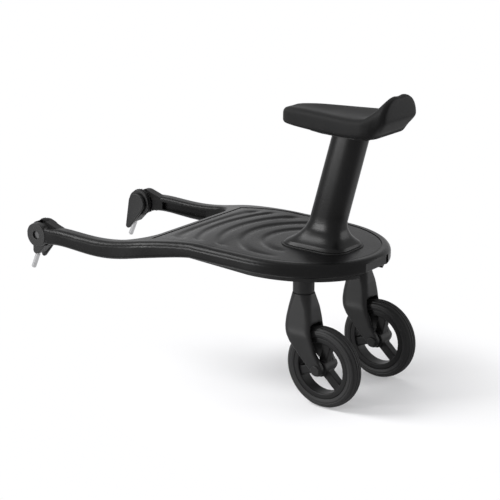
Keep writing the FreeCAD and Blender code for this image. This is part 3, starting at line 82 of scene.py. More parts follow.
scene = bpy.context.scene
camera = bpy.data.objects.new("board_camera", bpy.data.cameras.new("board_camera"))
scene.collection.objects.link(camera)
camera.location = CAMERA_PLACE
camera.rotation_euler = (math.pi / 2 - VIEW_TILT, 0, VIEW_TURN)
camera.data.sensor_width = SENSOR
camera.data.lens = FOCAL_PIXELS / PICTURE_PIXELS * SENSOR
camera.data.clip_end = SIGHT
scene.camera = camera
scene.view_settings.view_transform = "Standard"
print("lens", round(camera.data.lens, 1), "mm")

# %% [markdown]
# ## A small language for finishes
# A finish is a tree of shader nodes. Wiring it by hand hides the idea behind long lists of links, so here a
# socket is wrapped in a class that can be added and multiplied like a number. Then a finish reads as a sum:
# a base roughness, plus some cloudiness, plus a little wear.

# %% Finishes as sums
class Signal:
    """A socket of a node tree that takes part in sums."""

    def __init__(self, owner, socket):
        self.owner = owner
        self.socket = socket

    def math(self, operation, first, second=0.0):
        return self.owner.node("ShaderNodeMath", {"operation": operation}, {0: first, 1: second})

    def __add__(self, other):
        return self.math("ADD", self, other)

    def __sub__(self, other):
        return self.math("SUBTRACT", self, other)

    def __rsub__(self, other):
        return self.math("SUBTRACT", other, self)

    def __mul__(self, other):
        return self.math("MULTIPLY", self, other)

    def __truediv__(self, other):
        return self.math("DIVIDE", self, other)

    def __pow__(self, other):
        return self.math("POWER", self, other)

    __radd__ = __add__
    __rmul__ = __mul__

    def root(self):
        return self.math("SQRT", self)

    def between(self, low, high):
        """Rises softly from 0 to 1 while the signal goes from low to high."""
        return self.owner.node("ShaderNodeMapRange", {"interpolation_type": "SMOOTHSTEP"},
                                {"Value": self, "From Min": low, "From Max": high})

    def blend(self, from_colour, to_colour):
        """Mixes two colours by this signal."""
        return self.owner.node("ShaderNodeMix", {"data_type": "RGBA"}, {0: self, 6: from_colour, 7: to_colour}, 2)


class NodeTree:
    """A tree of nodes that is being written."""

    def node(self, kind, settings, sockets, out=0):
        """Adds a node: settings first, then the values or links of its sockets."""
        node = self.tree.nodes.new(kind)
        for key, value in settings.items():
            setattr(node, key, value)
        for key, value in sockets.items():
            for part in value if isinstance(value, list) else [value]:
                if isinstance(part, Signal):
                    self.tree.links.new(part.socket, node.inputs[key])
                else:
                    node.inputs[key].default_value = part
        return Signal(self, node.outputs[out]) if len(node.outputs) else node


class Finish(NodeTree):
    """A material that is being written."""

    def __init__(self, name):
        self.material = bpy.data.materials.new(name)
        self.material.use_nodes = True
        self.tree = self.material.node_tree
        self.tree.nodes.clear()
        self.place = self.node("ShaderNodeTexCoord", {}, {}, "Object")

    def noise(self, scale, detail=2.0, stretch=(1, 1, 1)):
        """Soft random values; scale is in waves per metre."""
        place = self.node("ShaderNodeMapping", {}, {"Vector": self.place, "Scale": stretch})
        return self.node("ShaderNodeTexNoise", {}, {"Vector": place, "Scale": scale, "Detail": detail})

    def coordinate(self, letter):
        return self.node("ShaderNodeSeparateXYZ", {}, {"Vector": self.place}, letter)

    def bump(self, height, depth, strength=1.0):
        return self.node("ShaderNodeBump", {}, {"Strength": strength, "Distance": depth, "Height": height}, "Normal")

    def surface(self, sockets):
        shader = self.node("ShaderNodeBsdfPrincipled", {}, sockets)
        self.node("ShaderNodeOutputMaterial", {}, {"Surface": shader})
        return self.material


BLUE_TINT = 1.01


def grey(level):
    return (level, level, level * BLUE_TINT, 1)


# %% [markdown]
# ## Moulded plastics
# The mould of such a board is spark-eroded, which leaves a fine grain, and the pigment is never quite even.
# Both show only as a soft break-up of the highlights. One recipe serves all the mouldings, with its own level,
# gloss and grain for each: a cloudy pigment, fine pores as a bump, and faint rub marks along the length.

# %% Plastics
CLOUD = (0.3, 0.7)
CLOUD_SHARE = 0.12
PIGMENT_WAVES = 16
RUB_WAVES = 60
RUB_STRETCH = (0.35, 6, 6)
RUB_MARKS = (0.58, 0.75)
PIGMENT_GLOSS = 0.06
GRAIN_GLOSS = 0.10
RUB_GLOSS = 0.05


def moulded(name, level, roughness, grain_size=0.5 * MM, grain_depth=0.03 * MM, shine=0.18):
    """Charcoal plastic with cloudy pigment, fine grain and faint rub marks."""
    finish = Finish(name)
    pigment = finish.noise(PIGMENT_WAVES, 3).between(*CLOUD)
    grain = finish.noise(1 / grain_size, 2)
    rubbing = finish.noise(RUB_WAVES, 4, RUB_STRETCH).between(*RUB_MARKS)
    colour = pigment.blend(grey(level * (1 - CLOUD_SHARE)), grey(level * (1 + CLOUD_SHARE)))
    gloss = roughness + (pigment - 0.5) * PIGMENT_GLOSS + (grain - 0.5) * GRAIN_GLOSS + rubbing * RUB_GLOSS
    return finish.surface({"Base Color": colour, "Roughness": gloss, "Specular IOR Level": shine,
                           "Normal": finish.bump(grain, grain_depth, 0.6)})


finishes = {
    "deck_plastic": moulded("satin_deck_plastic", 0.0045, 0.32, grain_depth=0.015 * MM, shine=0.10),
    "panel_plastic": moulded("grip_panel_plastic", 0.005, 0.27, shine=0.055),
    "cover_plastic": moulded("deck_cover_plastic", 0.006, 0.5),
    "post_plastic": moulded("saddle_post_plastic", 0.004, 0.31, grain_depth=0.02 * MM, shine=0.12),
    "lever_plastic": moulded("release_pull_plastic", 0.010, 0.45),
    "caster_plastic": moulded("fork_plastic", 0.011, 0.44, 0.7 * MM, 0.04 * MM, shine=0.14),
    "wheel_plastic": moulded("wheel_rim_plastic", 0.006, 0.46, shine=0.14),
    "bush_plastic": moulded("bush_plastic", 0.02, 0.4, 0.3 * MM),
    "head_plastic": moulded("coupling_head_plastic", 0.008, 0.46, 0.7 * MM, 0.04 * MM, shine=0.22),
    "ring_plastic": moulded("ratchet_ring_plastic", 0.005, 0.42),
}
print("plastics:", len(finishes))

# %% [markdown]
# ## Foam skin, rubber and steel
# The saddle is a soft integral-skin foam, matt with a faint leather-like pebble. The tyres are a harder foam
# whose tread goes a little grey where it meets the road; the distance from the axle tells the finish where
# that is. The coupling pins are drawn steel, so their scratches run along the pin.

# %% Foam, rubber and steel
WHEEL_X = 233.5 * MM
WHEEL_Z = 60 * MM
PEBBLES = 900.0
FOAM_WAVES = 22
FOAM_PORES = 2600
FOAM_GREYS = (0.006, 0.009)
FOAM_ROUGH = 0.55
FOAM_SHINE = 0.07
ROAD_WEAR = (58.2 * MM, 59.8 * MM)
TYRE_GREYS = (0.010, 0.018)
TYRE_ROUGH = 0.52
TYRE_SHINE = 0.2
DRAWN_WAVES = 900
STAIN_WAVES = 120
STAIN_SHARE = 0.78


def saddle_foam():
    finish = Finish("saddle_foam_skin")
    pebble = finish.node("ShaderNodeTexVoronoi", {"feature": "SMOOTH_F1"},
                         {"Vector": finish.place, "Scale": PEBBLES, "Smoothness": 0.6})
    pigment = finish.noise(FOAM_WAVES, 3).between(*CLOUD)
    pores = finish.noise(FOAM_PORES, 2)
    colour = pigment.blend(*map(grey, FOAM_GREYS))
    gloss = FOAM_ROUGH + (pigment - 0.5) * 0.08 + (pores - 0.5) * 0.1
    height = pebble * 0.7 + pores * 0.3
    return finish.surface({"Base Color": colour, "Roughness": gloss, "Specular IOR Level": FOAM_SHINE,
                           "Normal": finish.bump(height, 0.05 * MM, 0.5)})


def tyre_rubber():
    finish = Finish("tyre_rubber")
    across = finish.coordinate("X") - WHEEL_X
    up = finish.coordinate("Z") - WHEEL_Z
    from_axle = (across * across + up * up).root()
    road_wear = from_axle.between(*ROAD_WEAR)
    cloud = finish.noise(45, 4)
    grain = finish.noise(1800, 2)
    colour = (road_wear * cloud.between(0.35, 0.7)).blend(*map(grey, TYRE_GREYS))
    gloss = TYRE_ROUGH + road_wear * 0.12 + (cloud - 0.5) * 0.12 + (grain - 0.5) * 0.08
    return finish.surface({"Base Color": colour, "Roughness": gloss, "Specular IOR Level": TYRE_SHINE,
                           "Normal": finish.bump(grain, 0.03 * MM, 0.5)})


def drawn_steel(name, level, roughness, stretch):
    finish = Finish(name)
    drawn = finish.noise(DRAWN_WAVES, 3, stretch)
    stain = finish.noise(STAIN_WAVES, 3).between(0.45, 0.75)
    colour = stain.blend(grey(level), grey(level * STAIN_SHARE))
    gloss = roughness + (drawn - 0.5) * 0.22 + stain * 0.08
    return finish.surface({"Base Color": colour, "Metallic": 1.0, "Roughness": gloss,
                           "Normal": finish.bump(drawn, 0.02 * MM, 0.4)})


finishes["saddle_foam"] = saddle_foam()
finishes["tyre_rubber"] = tyre_rubber()
finishes["steel"] = drawn_steel("blackened_steel", 0.10, 0.38, (1, 0.08, 1))
finishes["spring_steel"] = drawn_steel("spring_steel", 0.35, 0.3, (1, 1, 1))
finishes["pin_steel"] = drawn_steel("coupling_pin_steel", 0.42, 0.34, (1, 1, 0.12))
for node, piece in frame["nodes"].items():
    piece.data.materials.clear()
    piece.data.materials.append(finishes[slot_of[node]])
print("finishes:", ", ".join(sorted(finishes)))

# %% [markdown]
# ## Studio
# Black plastic shows little of its own colour. What the eye reads is the reflection of the studio, so the size
# and place of the lamps draw the shape. A soft box high on the left draws the light lines along the edges, one
# on the right lifts the wheels, a low strip lights the sides of the arms and the post, and a weak one hangs
# above. The surroundings are white to the camera and in every reflection, and dimmer where they only give light.

# %% Lamps
def soft_box(name, place, width, height, watts):
    """A soft lamp that points at the middle of the board."""
    lamp = bpy.data.lights.new(name, "AREA")
    lamp.shape = "RECTANGLE"
    lamp.size = width
    lamp.size_y = height
    lamp.energy = watts
    box = bpy.data.objects.new(name, lamp)
    box.location = place
    box.rotation_euler = (Vector(BOARD_MIDDLE) - Vector(place)).to_track_quat("-Z", "Y").to_euler()
    box.visible_camera = False
    scene.collection.objects.link(box)


BOARD_MIDDLE = (0.05, 0, 0.2)
SOFT_BOXES = {
    "left_soft_box": ((-1.55, -1.2, 1.9), 1.2, 1.0, 64),
    "right_soft_box": ((1.3, 1.3, 0.55), 0.7, 1.0, 9),
    "low_strip_box": ((-0.85, -1.6, 0.24), 0.5, 0.4, 22),
    "top_soft_box": ((-0.2, 0.5, 2.1), 1.2, 1.2, 7),
}
for name, (place, width, height, watts) in SOFT_BOXES.items():
    soft_box(name, place, width, height, watts)


# %% Walls of the studio
class Surroundings(NodeTree):
    """The light from all round, while it is being written."""

    def __init__(self, world):
        world.use_nodes = True
        self.tree = world.node_tree
        self.tree.nodes.clear()


SHOWN_TO = ("Camera", "Glossy", "Transmission")
AMBIENT = 0.5
scene.world = bpy.data.worlds.new("studio")
walls = Surroundings(scene.world)
white = sum(walls.node("ShaderNodeLightPath", {}, {}, f"Is {kind} Ray") for kind in SHOWN_TO)
level = white + (1 - white) * AMBIENT
background = walls.node("ShaderNodeBackground", {}, {"Color": grey(1.0), "Strength": level})
walls.node("ShaderNodeOutputWorld", {}, {"Surface": background})
print("white to", ", ".join(SHOWN_TO), "rays, else", AMBIENT)

# %% [markdown]
# ## Table
# The table is white to the camera and in reflections, but it keeps the shadow under the wheels: near the board
# it is mostly paint and takes shadows, and further out it glows by itself and merges with the background.

# %% Table
TABLE_SPAN = 15
table_mesh = bpy.data.meshes.new("table")
corners = [(-TABLE_SPAN, -TABLE_SPAN, 0), (TABLE_SPAN, -TABLE_SPAN, 0), (TABLE_SPAN, TABLE_SPAN, 0),
           (-TABLE_SPAN, TABLE_SPAN, 0)]
table_mesh.from_pydata(corners, [], [(0, 1, 2, 3)])
table = bpy.data.objects.new("table", table_mesh)
scene.collection.objects.link(table)
SHADOW_MIDDLE = (0.20, 0.02)
TABLE_CLOUDS = 3
TABLE_GREYS = (0.90, 0.92)


def table_white(near, far, least_glow):
    """Paint that takes shadows within near of the wheels and glows by itself beyond far."""
    finish = Finish("table_white")
    along = finish.coordinate("X")
    across = finish.coordinate("Y")
    from_wheels = ((along - SHADOW_MIDDLE[0]) ** 2 + (across - SHADOW_MIDDLE[1]) ** 2).root()
    glow_share = least_glow + from_wheels.between(near, far) * (1 - least_glow)
    tone = finish.noise(TABLE_CLOUDS, 2).blend(*map(grey, TABLE_GREYS))
    shown = sum(finish.node("ShaderNodeLightPath", {}, {}, f"Is {kind} Ray") for kind in SHOWN_TO)
    paint = finish.node("ShaderNodeBsdfDiffuse", {}, {"Color": tone})
    glow = finish.node("ShaderNodeEmission", {}, {"Color": grey(1.0), "Strength": 1.0})
    mix = finish.node("ShaderNodeMixShader", {}, {0: shown * glow_share, 1: paint, 2: glow})
    finish.node("ShaderNodeOutputMaterial", {}, {"Surface": mix})
    return finish.material


table_mesh.materials.append(table_white(near=0.08, far=0.37, least_glow=0.22))
print("table:", TABLE_SPAN * 2, "m wide")

# %% [markdown]
# ## Soft edges for the mouldings
# A measured solid has knife edges, and a moulding never has: the melt rounds every corner, and that thin
# round is what catches the light. There are two ways to get it. A bevel keeps large clean faces exactly as
# they are, which suits the deck and the release plates. Remeshing and smoothing melts a whole form together,
# which suits the forks and the heads, where hood, blades and bosses flow into each other.

# %% Soft mouldings
MERGE_GAP = 0.002 * MM
SLIVER = 0.001 * MM


def new_piece(name, mesh):
    piece = bpy.data.objects.new(name, mesh)
    scene.collection.objects.link(piece)
    return piece


def joined_copy(node, name):
    """A copy of a solid's mesh with its loose triangles joined up."""
    source = frame["nodes"][node].data
    mesh = bpy.data.meshes.new(name)
    mesh.from_pydata([tuple(point.co) for point in source.vertices], [],
                     [tuple(face.vertices) for face in source.polygons])
    work = bmesh.new()
    work.from_mesh(mesh)
    bmesh.ops.remove_doubles(work, verts=work.verts, dist=MERGE_GAP)
    bmesh.ops.dissolve_degenerate(work, edges=work.edges, dist=SLIVER)
    work.to_mesh(mesh)
    work.free()
    return new_piece(name, mesh)


def settled(piece):
    """Turns a piece with modifiers into a plain mesh."""
    graph = bpy.context.evaluated_depsgraph_get()
    mesh = bpy.data.meshes.new_from_object(piece.evaluated_get(graph))
    piece.modifiers.clear()
    piece.data = mesh
    return piece


def dress(piece, *nodes):
    """Puts a piece in the place of solids: same body, same slot, same finish."""
    piece.data.materials.clear()
    piece.data.materials.append(finishes[slot_of[nodes[0]]])
    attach(piece, body_of[nodes[0]])
    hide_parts(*nodes)
    print(piece.name, len(piece.data.polygons), "faces")
    return piece


BORDER_WIDTH = 1.6 * MM
BORDER_RISE = 0.6 * MM
FLAT_ANGLE = math.radians(0.6)
EDGE_ANGLE = math.radians(32)
FACING = 0.9


def bevelled(node, name, width, segments=2, sunk=None):
    """A copy with clean faces and rounded edges; the largest face that looks along sunk gets a raised border."""
    piece = joined_copy(node, name)
    work = bmesh.new()
    work.from_mesh(piece.data)
    bmesh.ops.dissolve_limit(work, angle_limit=FLAT_ANGLE, verts=work.verts, edges=work.edges)
    if sunk:
        facing = [face for face in work.faces if face.normal.dot(Vector(sunk)) > FACING]
        plate = max(facing, key=lambda face: face.calc_area())
        bmesh.ops.inset_individual(work, faces=[plate], thickness=BORDER_WIDTH, depth=-BORDER_RISE)
    work.to_mesh(piece.data)
    work.free()
    piece.data.shade_smooth()
    bevel = piece.modifiers.new("edge_round", "BEVEL")
    bevel.width = width
    bevel.segments = segments
    bevel.limit_method = "ANGLE"
    bevel.angle_limit = EDGE_ANGLE
    weights = piece.modifiers.new("flat_faces", "WEIGHTED_NORMAL")
    weights.keep_sharp = True
    return settled(piece)


SEAM_REACH = 17 * MM
SEAM_PASSES = 240
SMOOTH_STEP = 0.5


def smoothed(piece, passes, group=""):
    """Evens out a mesh, all of it or as much as a group of points says."""
    smooth = piece.modifiers.new("smooth", "SMOOTH")
    smooth.factor = SMOOTH_STEP
    smooth.iterations = passes
    smooth.vertex_group = group
    return settled(piece)


def melted(node, name, voxel, passes, seam=None):
    """A copy whose forms flow into each other, most of all near the height of a seam."""
    piece = joined_copy(node, name)
    remesh = piece.modifiers.new("melt", "REMESH")
    remesh.mode = "VOXEL"
    remesh.voxel_size = voxel
    remesh.use_smooth_shade = True
    piece = smoothed(settled(piece), passes)
    if seam:
        near_seam = piece.vertex_groups.new(name="near_seam")
        for point in piece.data.vertices:
            near_seam.add([point.index], math.exp(-((point.co.z - seam) / SEAM_REACH) ** 2), "REPLACE")
        piece = smoothed(piece, SEAM_PASSES, near_seam.name)
        piece.vertex_groups.clear()
    return piece


# %% [markdown]
# ## Deck, cover and socket
# The deck is one large moulding: rim, neck and both arms. Its faces are long and calm, so it keeps them and
# only gets its edges rounded. The cover under it, the frame round the post's foot and the saddle's plate follow.

# %% Deck, cover and socket
dress(bevelled("deck_shell", "moulded_deck", 0.7 * MM), "deck_shell")
dress(bevelled("deck_cover", "deck_underside", 0.8 * MM), "deck_cover")
dress(bevelled("seat_socket", "seat_frame", 0.7 * MM), "seat_socket")
dress(bevelled("saddle_base", "saddle_plate", 0.8 * MM), "saddle_base")
dress(bevelled("seat_release_pull", "release_pull", 0.4 * MM), "seat_release_pull")

# %% [markdown]
# ## Recipes for shapes that follow a rule
# Geometry Nodes keep a rule and its numbers together: change the pitch of the ripples and the panel follows.
# The tree is written here with the same sums as the finishes. Its inputs have names, and a modifier sets them
# before the shape is worked out once and kept as a plain mesh.

# %% A writer for geometry recipes
class Recipe(NodeTree):
    """A geometry tree with named inputs."""

    def __init__(self, name, inputs):
        self.tree = bpy.data.node_groups.new(name, "GeometryNodeTree")
        sockets = self.tree.interface
        sockets.new_socket(name="Geometry", in_out="INPUT", socket_type="NodeSocketGeometry")
        for label in inputs:
            sockets.new_socket(name=label, in_out="INPUT", socket_type="NodeSocketFloat")
        sockets.new_socket(name="Geometry", in_out="OUTPUT", socket_type="NodeSocketGeometry")
        self.inputs = inputs
        self.entry = self.tree.nodes.new("NodeGroupInput")
        self.shape = Signal(self, self.entry.outputs["Geometry"])

    def value(self, label):
        return Signal(self, self.entry.outputs[label])

    def place(self, letter):
        position = self.node("GeometryNodeInputPosition", {}, {})
        return self.node("ShaderNodeSeparateXYZ", {}, {"Vector": position}, letter)

    def close(self, shape, material):
        """Ends the tree with real faces and a material."""
        real = self.node("GeometryNodeRealizeInstances", {}, {"Geometry": shape})
        painted = self.node("GeometryNodeSetMaterial", {}, {"Geometry": real, "Material": material})
        self.node("NodeGroupOutput", {}, {"Geometry": painted})

    def apply(self, piece):
        modifier = piece.modifiers.new(self.tree.name, "NODES")
        modifier.node_group = self.tree
        for item in self.tree.interface.items_tree:
            if item.in_out == "INPUT" and item.name in self.inputs:
                modifier[item.identifier] = float(self.inputs[item.name])
        return settled(piece)


# %% [markdown]
# ## Rippled grip panel
# Shallow waves run round the saddle's foot like rings in water and stop in small commas short of the rim.
# They keep a shoe from sliding. The panel starts as a fine triangle net over its outline, at the height of
# the seat that the deck has for it. A recipe then lowers each point by a rule.

# %% The panel's net
SEAT = Vector((177.5, 0)) * MM
PANEL_HALF = 109.2 * MM
PANEL_FRONT = -56.2 * MM
ROUND_START = 128.5 * MM
PANEL_REACH = 134.2 * MM
LIP_LENGTH = 112.6 * MM
LIP_WIDTH = 84.6 * MM
LIP_ROUND = 27.3 * MM
PANEL_LIFT = 2.9 * MM
NET = 2.1 * MM
ROW_SHARE = 0.866
EDGE_CLEARANCE = 0.55 * NET
JOIN_GAP = 1e-7


def panel_edge(steps=90):
    """The panel's outline, anticlockwise from the front right corner."""
    rear = [(ROUND_START + PANEL_REACH * math.cos(turn), PANEL_HALF * math.sin(turn))
            for turn in np.linspace(-math.pi / 2, math.pi / 2, steps)]
    front = [(PANEL_FRONT, PANEL_HALF), (PANEL_FRONT, -PANEL_HALF)]
    loop = rear + front
    points = []
    for start, end in zip(loop, loop[1:] + loop[:1]):
        count = max(1, int(math.dist(start, end) / NET))
        points += [tuple(np.add(start, np.subtract(end, start) * index / count)) for index in range(count)]
    return points


def rounded_rectangle(middle, length, width, radius, steps=14):
    points = []
    for quarter, (along, across) in enumerate(((1, 1), (-1, 1), (-1, -1), (1, -1))):
        centre = (middle[0] + along * (length / 2 - radius), middle[1] + across * (width / 2 - radius))
        for turn in np.linspace(quarter, quarter + 1, steps) * math.pi / 2:
            points.append((centre[0] + radius * math.cos(turn), centre[1] + radius * math.sin(turn)))
    return points


def edge_distance(points, loop):
    """Distance of each point from a closed loop."""
    starts = np.array(loop)
    runs = np.roll(starts, -1, 0) - starts
    nearest = np.full(len(points), 9.0)
    for start, run in zip(starts, runs):
        share = np.clip(((points - start) @ run) / max(run @ run, 1e-12), 0, 1)
        nearest = np.minimum(nearest, np.linalg.norm(points - start - share[:, None] * run, axis=1))
    return nearest


def inside(points, loop):
    """Which points lie inside a closed loop."""
    result = np.zeros(len(points), bool)
    starts = np.array(loop)
    for (x1, y1), (x2, y2) in zip(starts, np.roll(starts, -1, 0)):
        crosses = (y1 > points[:, 1]) != (y2 > points[:, 1])
        at = (x2 - x1) * (points[:, 1] - y1) / (y2 - y1 + 1e-15) + x1
        result ^= crosses & (points[:, 0] < at)
    return result


def filled_net(outline, hole, spacing):
    """Even triangles between an outline and a hole, as flat points and faces."""
    columns = np.arange(min(p[0] for p in outline), max(p[0] for p in outline), spacing)
    rows = np.arange(min(p[1] for p in outline), max(p[1] for p in outline), spacing * ROW_SHARE)
    net = np.array([(x + spacing / 2 * (index % 2), y) for index, y in enumerate(rows) for x in columns])
    keep = inside(net, outline) & ~inside(net, hole)
    net = net[keep]
    clear = (edge_distance(net, outline) > EDGE_CLEARANCE) & (edge_distance(net, hole) > EDGE_CLEARANCE)
    points = list(outline) + list(hole) + [tuple(point) for point in net[clear]]
    loops = [range(len(outline)), range(len(outline), len(outline) + len(hole))]
    edges = [(loop[index - 1], loop[index]) for loop in loops for index in range(len(loop))]
    flat, _, faces, *_ = delaunay_2d_cdt([Vector(point) for point in points], edges, [], 0, JOIN_GAP)
    flat = np.array([tuple(point) for point in flat])
    middles = np.array([flat[list(face)].mean(0) for face in faces])
    keep = inside(middles, outline) & ~inside(middles, hole)
    return flat, [tuple(face) for face, kept in zip(faces, keep) if kept]


deck_surface = BVHTree.FromPolygons([point.co for point in frame["nodes"]["deck_shell"].data.vertices],
                                    [face.vertices for face in frame["nodes"]["deck_shell"].data.polygons])
DOWN = Vector((0, 0, -1))
ABOVE_DECK = 300 * MM
BESIDE_SEAT = 0.8 * PANEL_HALF
stations = np.linspace(PANEL_FRONT + 0.5 * MM, ROUND_START, 60)
seat_heights = [deck_surface.ray_cast(Vector((x, BESIDE_SEAT, ABOVE_DECK)), DOWN)[0].z for x in stations]
panel_outline = panel_edge()
lip_outline = rounded_rectangle(SEAT, LIP_LENGTH, LIP_WIDTH, LIP_ROUND)
flat, faces = filled_net(panel_outline, lip_outline, NET)
heights = np.interp(flat[:, 0], stations, seat_heights) + PANEL_LIFT
panel_mesh = bpy.data.meshes.new("rippled_grip_panel")
panel_mesh.from_pydata([(x, y, z) for (x, y), z in zip(flat, heights)], [], faces)
rim_distance = panel_mesh.attributes.new("rim_distance", "FLOAT", "POINT")
rim_distance.data.foreach_set("value", edge_distance(flat, panel_outline).astype(np.float32))
panel = new_piece("rippled_grip_panel", panel_mesh)
print("panel net:", len(flat), "points, seat from", round(min(seat_heights) / MM, 1), "mm")

# %% [markdown]
# ### The ripples' rule
# Each ripple is a valley at one distance from a point just ahead of the post, like rings round a stone in the
# water. The last ring lies closer to its neighbour and is flatter, to suit the straight front edge. The side
# away from the post is steep and the side towards it gentle. Small commas end the rings short of the rim.

# %% The ripples
RIPPLES = 5
STEEP_SIDE = 0.14
GENTLE_SIDE = 0.22
COMMA_SIZE = 5 * MM
LAST_RING_LATER = 10 * MM
LAST_RING_SOONER = 15 * MM
AHEAD = (-20 * MM, 10 * MM)
RING_FADE = 0.1
EDGE_ROLL = 2.2 * MM
EDGE_DROP = 0.5 * MM
PANEL_SHEET = 1.2 * MM
ripples = Recipe("ripples_ahead_of_the_post", {
    "Centre X": 147 * MM, "First Ripple": 61 * MM, "Pitch": 32.7 * MM, "Depth": 2.1 * MM, "Reach": 95 * MM,
    "Flatten From": 150 * MM, "Flatten To": 200 * MM, "Flatness": 0.9, "Last Step In": 9 * MM,
    "Comma Depth": 0.5 * MM,
})
along = ripples.value("Centre X") - ripples.place("X")
across = ripples.place("Y")
flatter = along.between(ripples.value("Flatten From"), ripples.value("Flatten To"))
from_centre = (along * along + across * across * (1 - flatter * ripples.value("Flatness"))).root()
last_one = from_centre.between(ripples.value("Flatten From") + LAST_RING_LATER,
                               ripples.value("Flatten To") - LAST_RING_SOONER)
turns = (from_centre + last_one * ripples.value("Last Step In") - ripples.value("First Ripple"))
turns = turns / ripples.value("Pitch") + 0.5
offset = turns.math("FRACT", turns) - 0.5
width = GENTLE_SIDE - offset.between(0.0, 0.001) * (GENTLE_SIDE - STEEP_SIDE)
valley = offset.math("EXPONENT", (offset / width) ** 2 * -1.0)
to_side = across.math("ABSOLUTE", across)
tip = to_side - (ripples.value("Reach") - COMMA_SIZE)
spread = 1 - tip.between(-COMMA_SIZE, COMMA_SIZE)
comma = tip.math("EXPONENT", (tip / COMMA_SIZE) ** 2 * -1.0)
ring_range = turns.between(-RING_FADE, RING_FADE) * (1 - turns.between(RIPPLES - RING_FADE, RIPPLES + RING_FADE))
depth = spread * ripples.value("Depth") + comma * ripples.value("Comma Depth")
lowering = valley * along.between(*AHEAD) * ring_range * depth
rim_gap = ripples.node("GeometryNodeInputNamedAttribute", {"data_type": "FLOAT"}, {"Name": "rim_distance"})
rolled_edge = (1 - rim_gap.between(0.0, EDGE_ROLL)) * EDGE_DROP
drop = ripples.node("ShaderNodeCombineXYZ", {}, {"Z": (lowering + rolled_edge) * -1.0})
rippled = ripples.node("GeometryNodeSetPosition", {}, {"Geometry": ripples.shape, "Offset": drop})
ripples.close(rippled, finishes["panel_plastic"])
panel = ripples.apply(panel)
thicken = panel.modifiers.new("panel_thickness", "SOLIDIFY")
thicken.thickness = PANEL_SHEET
thicken.offset = -1
panel = settled(panel)
panel.data.shade_smooth()
panel.data.set_sharp_from_angle(angle=math.radians(50))
dress(panel, "grip_panel")

# %% [markdown]
# ## Saddle
# The saddle is a moulded foam cushion with a skin: a narrow nose, a shallow hollow to sit in and a tail that
# turns up behind the child. It is drawn as a row of rounded sections from nose to tail, joined by smooth
# curves. The hollow is pressed into the top, the skin rolls over a soft edge line, and the back of the tail
# has a fold across it. Closed end caps keep it one solid skin.

# %% Saddle
SADDLE_NOSE = 111 * MM
SADDLE_LENGTH = 193 * MM
SADDLE_HALF = 53 * MM
SADDLE_TOP = 413 * MM
SADDLE_FOOT = 388.3 * MM
TAIL_RISE = 35 * MM
ROUND_LIMIT = 0.98
SECTION_ROWS = {
    "place": (0, 0.028, 0.10, 0.26, 0.505, 0.71, 0.826, 0.889, 0.94, 0.972, 1),
    "half": (0.17, 0.33, 0.47, 0.62, 0.81, 0.96, 1, 0.97, 0.91, 0.86, 0.76),
    "top": (-0.21, -0.06, 0.02, 0.07, 0.08, 0.09, 0.17, 0.44, 0.83, 1, 0.95),
    "under": (0.20, 0.085, 0.04, 0.01, 0, 0.02, 0.04, 0.05, 0.07, 0.13, 0.26),
    "round": (0.5, 0.45, 0.38, 0.30, 0.235, 0.20, 0.22, 0.42, 0.70, 0.80, 0.80),
    "low_round": (0.16, 0.16, 0.16, 0.16, 0.16, 0.17, 0.20, 0.26, 0.36, 0.45, 0.55),
    "hollow": (0, 0, 0.5, 1.6, 2.4, 2.6, 2.2, 1.8, 1.6, 1.0, 0.4),
}


def eased(places, values, at):
    """A curve through the rows that doesn't overshoot."""
    places, values = np.array(places, float), np.array(values, float)
    slopes = np.diff(values) / np.diff(places)
    tangents = np.concatenate(([slopes[0]], np.zeros(len(slopes) - 1), [slopes[-1]]))
    for index in range(1, len(slopes)):
        before, after = slopes[index - 1], slopes[index]
        if before * after > 0:
            tangents[index] = 2 * before * after / (before + after)
    index = np.clip(np.searchsorted(places, at) - 1, 0, len(slopes) - 1)
    span = places[index + 1] - places[index]
    share = (at - places[index]) / span
    start, end = values[index], values[index + 1]
    return ((1 + 2 * share) * (1 - share) ** 2 * start + share ** 2 * (3 - 2 * share) * end
            + span * (share * (1 - share) ** 2 * tangents[index] - share ** 2 * (1 - share) * tangents[index + 1]))


def saddle_ring(half, low, high, top_round, low_round, hollow, corner_steps=9, flat_steps=16):
    """One rounded section as (across, up) pairs, from the underside's middle round to itself."""
    fit = min(1.0, (high - low) * ROUND_LIMIT / (top_round + low_round))
    top_round, low_round = (min(size * fit, half * ROUND_LIMIT) for size in (top_round, low_round))
    path = [(share * (half - low_round), low) for share in np.linspace(0, 1, flat_steps)[:-1]]
    for turn in np.linspace(-math.pi / 2, 0, corner_steps):
        path.append((half - low_round + low_round * math.cos(turn), low + low_round + low_round * math.sin(turn)))
    for turn in np.linspace(0, math.pi / 2, corner_steps):
        path.append((half - top_round + top_round * math.cos(turn), high - top_round + top_round * math.sin(turn)))
    for share in np.linspace(1, 0, flat_steps)[1:]:
        sink = hollow * (1 - share ** 2) ** 2
        path.append((share * (half - top_round), high - sink))
    return path + [(-across, up) for across, up in path[-2:0:-1]]


def saddle_shape():
    """Rings along the saddle from nose to tail."""
    shares = np.concatenate((np.linspace(0, 0.12, 16)[:-1], np.linspace(0.12, 0.8, 46)[:-1],
                             np.linspace(0.8, 1, 34)))
    rows = {key: eased(SECTION_ROWS["place"], values, shares) for key, values in SECTION_ROWS.items()}
    rings = []
    for index, share in enumerate(shares):
        half = SADDLE_HALF * rows["half"][index]
        ring = saddle_ring(half, SADDLE_FOOT + TAIL_RISE * rows["under"][index],
                           SADDLE_TOP + TAIL_RISE * rows["top"][index], half * rows["round"][index],
                           half * rows["low_round"][index], rows["hollow"][index] * MM)
        x = SADDLE_NOSE + SADDLE_LENGTH * share
        rings.append([(x, across, up) for across, up in ring])
    return rings


SKIN_MERGE = 0.01 * MM


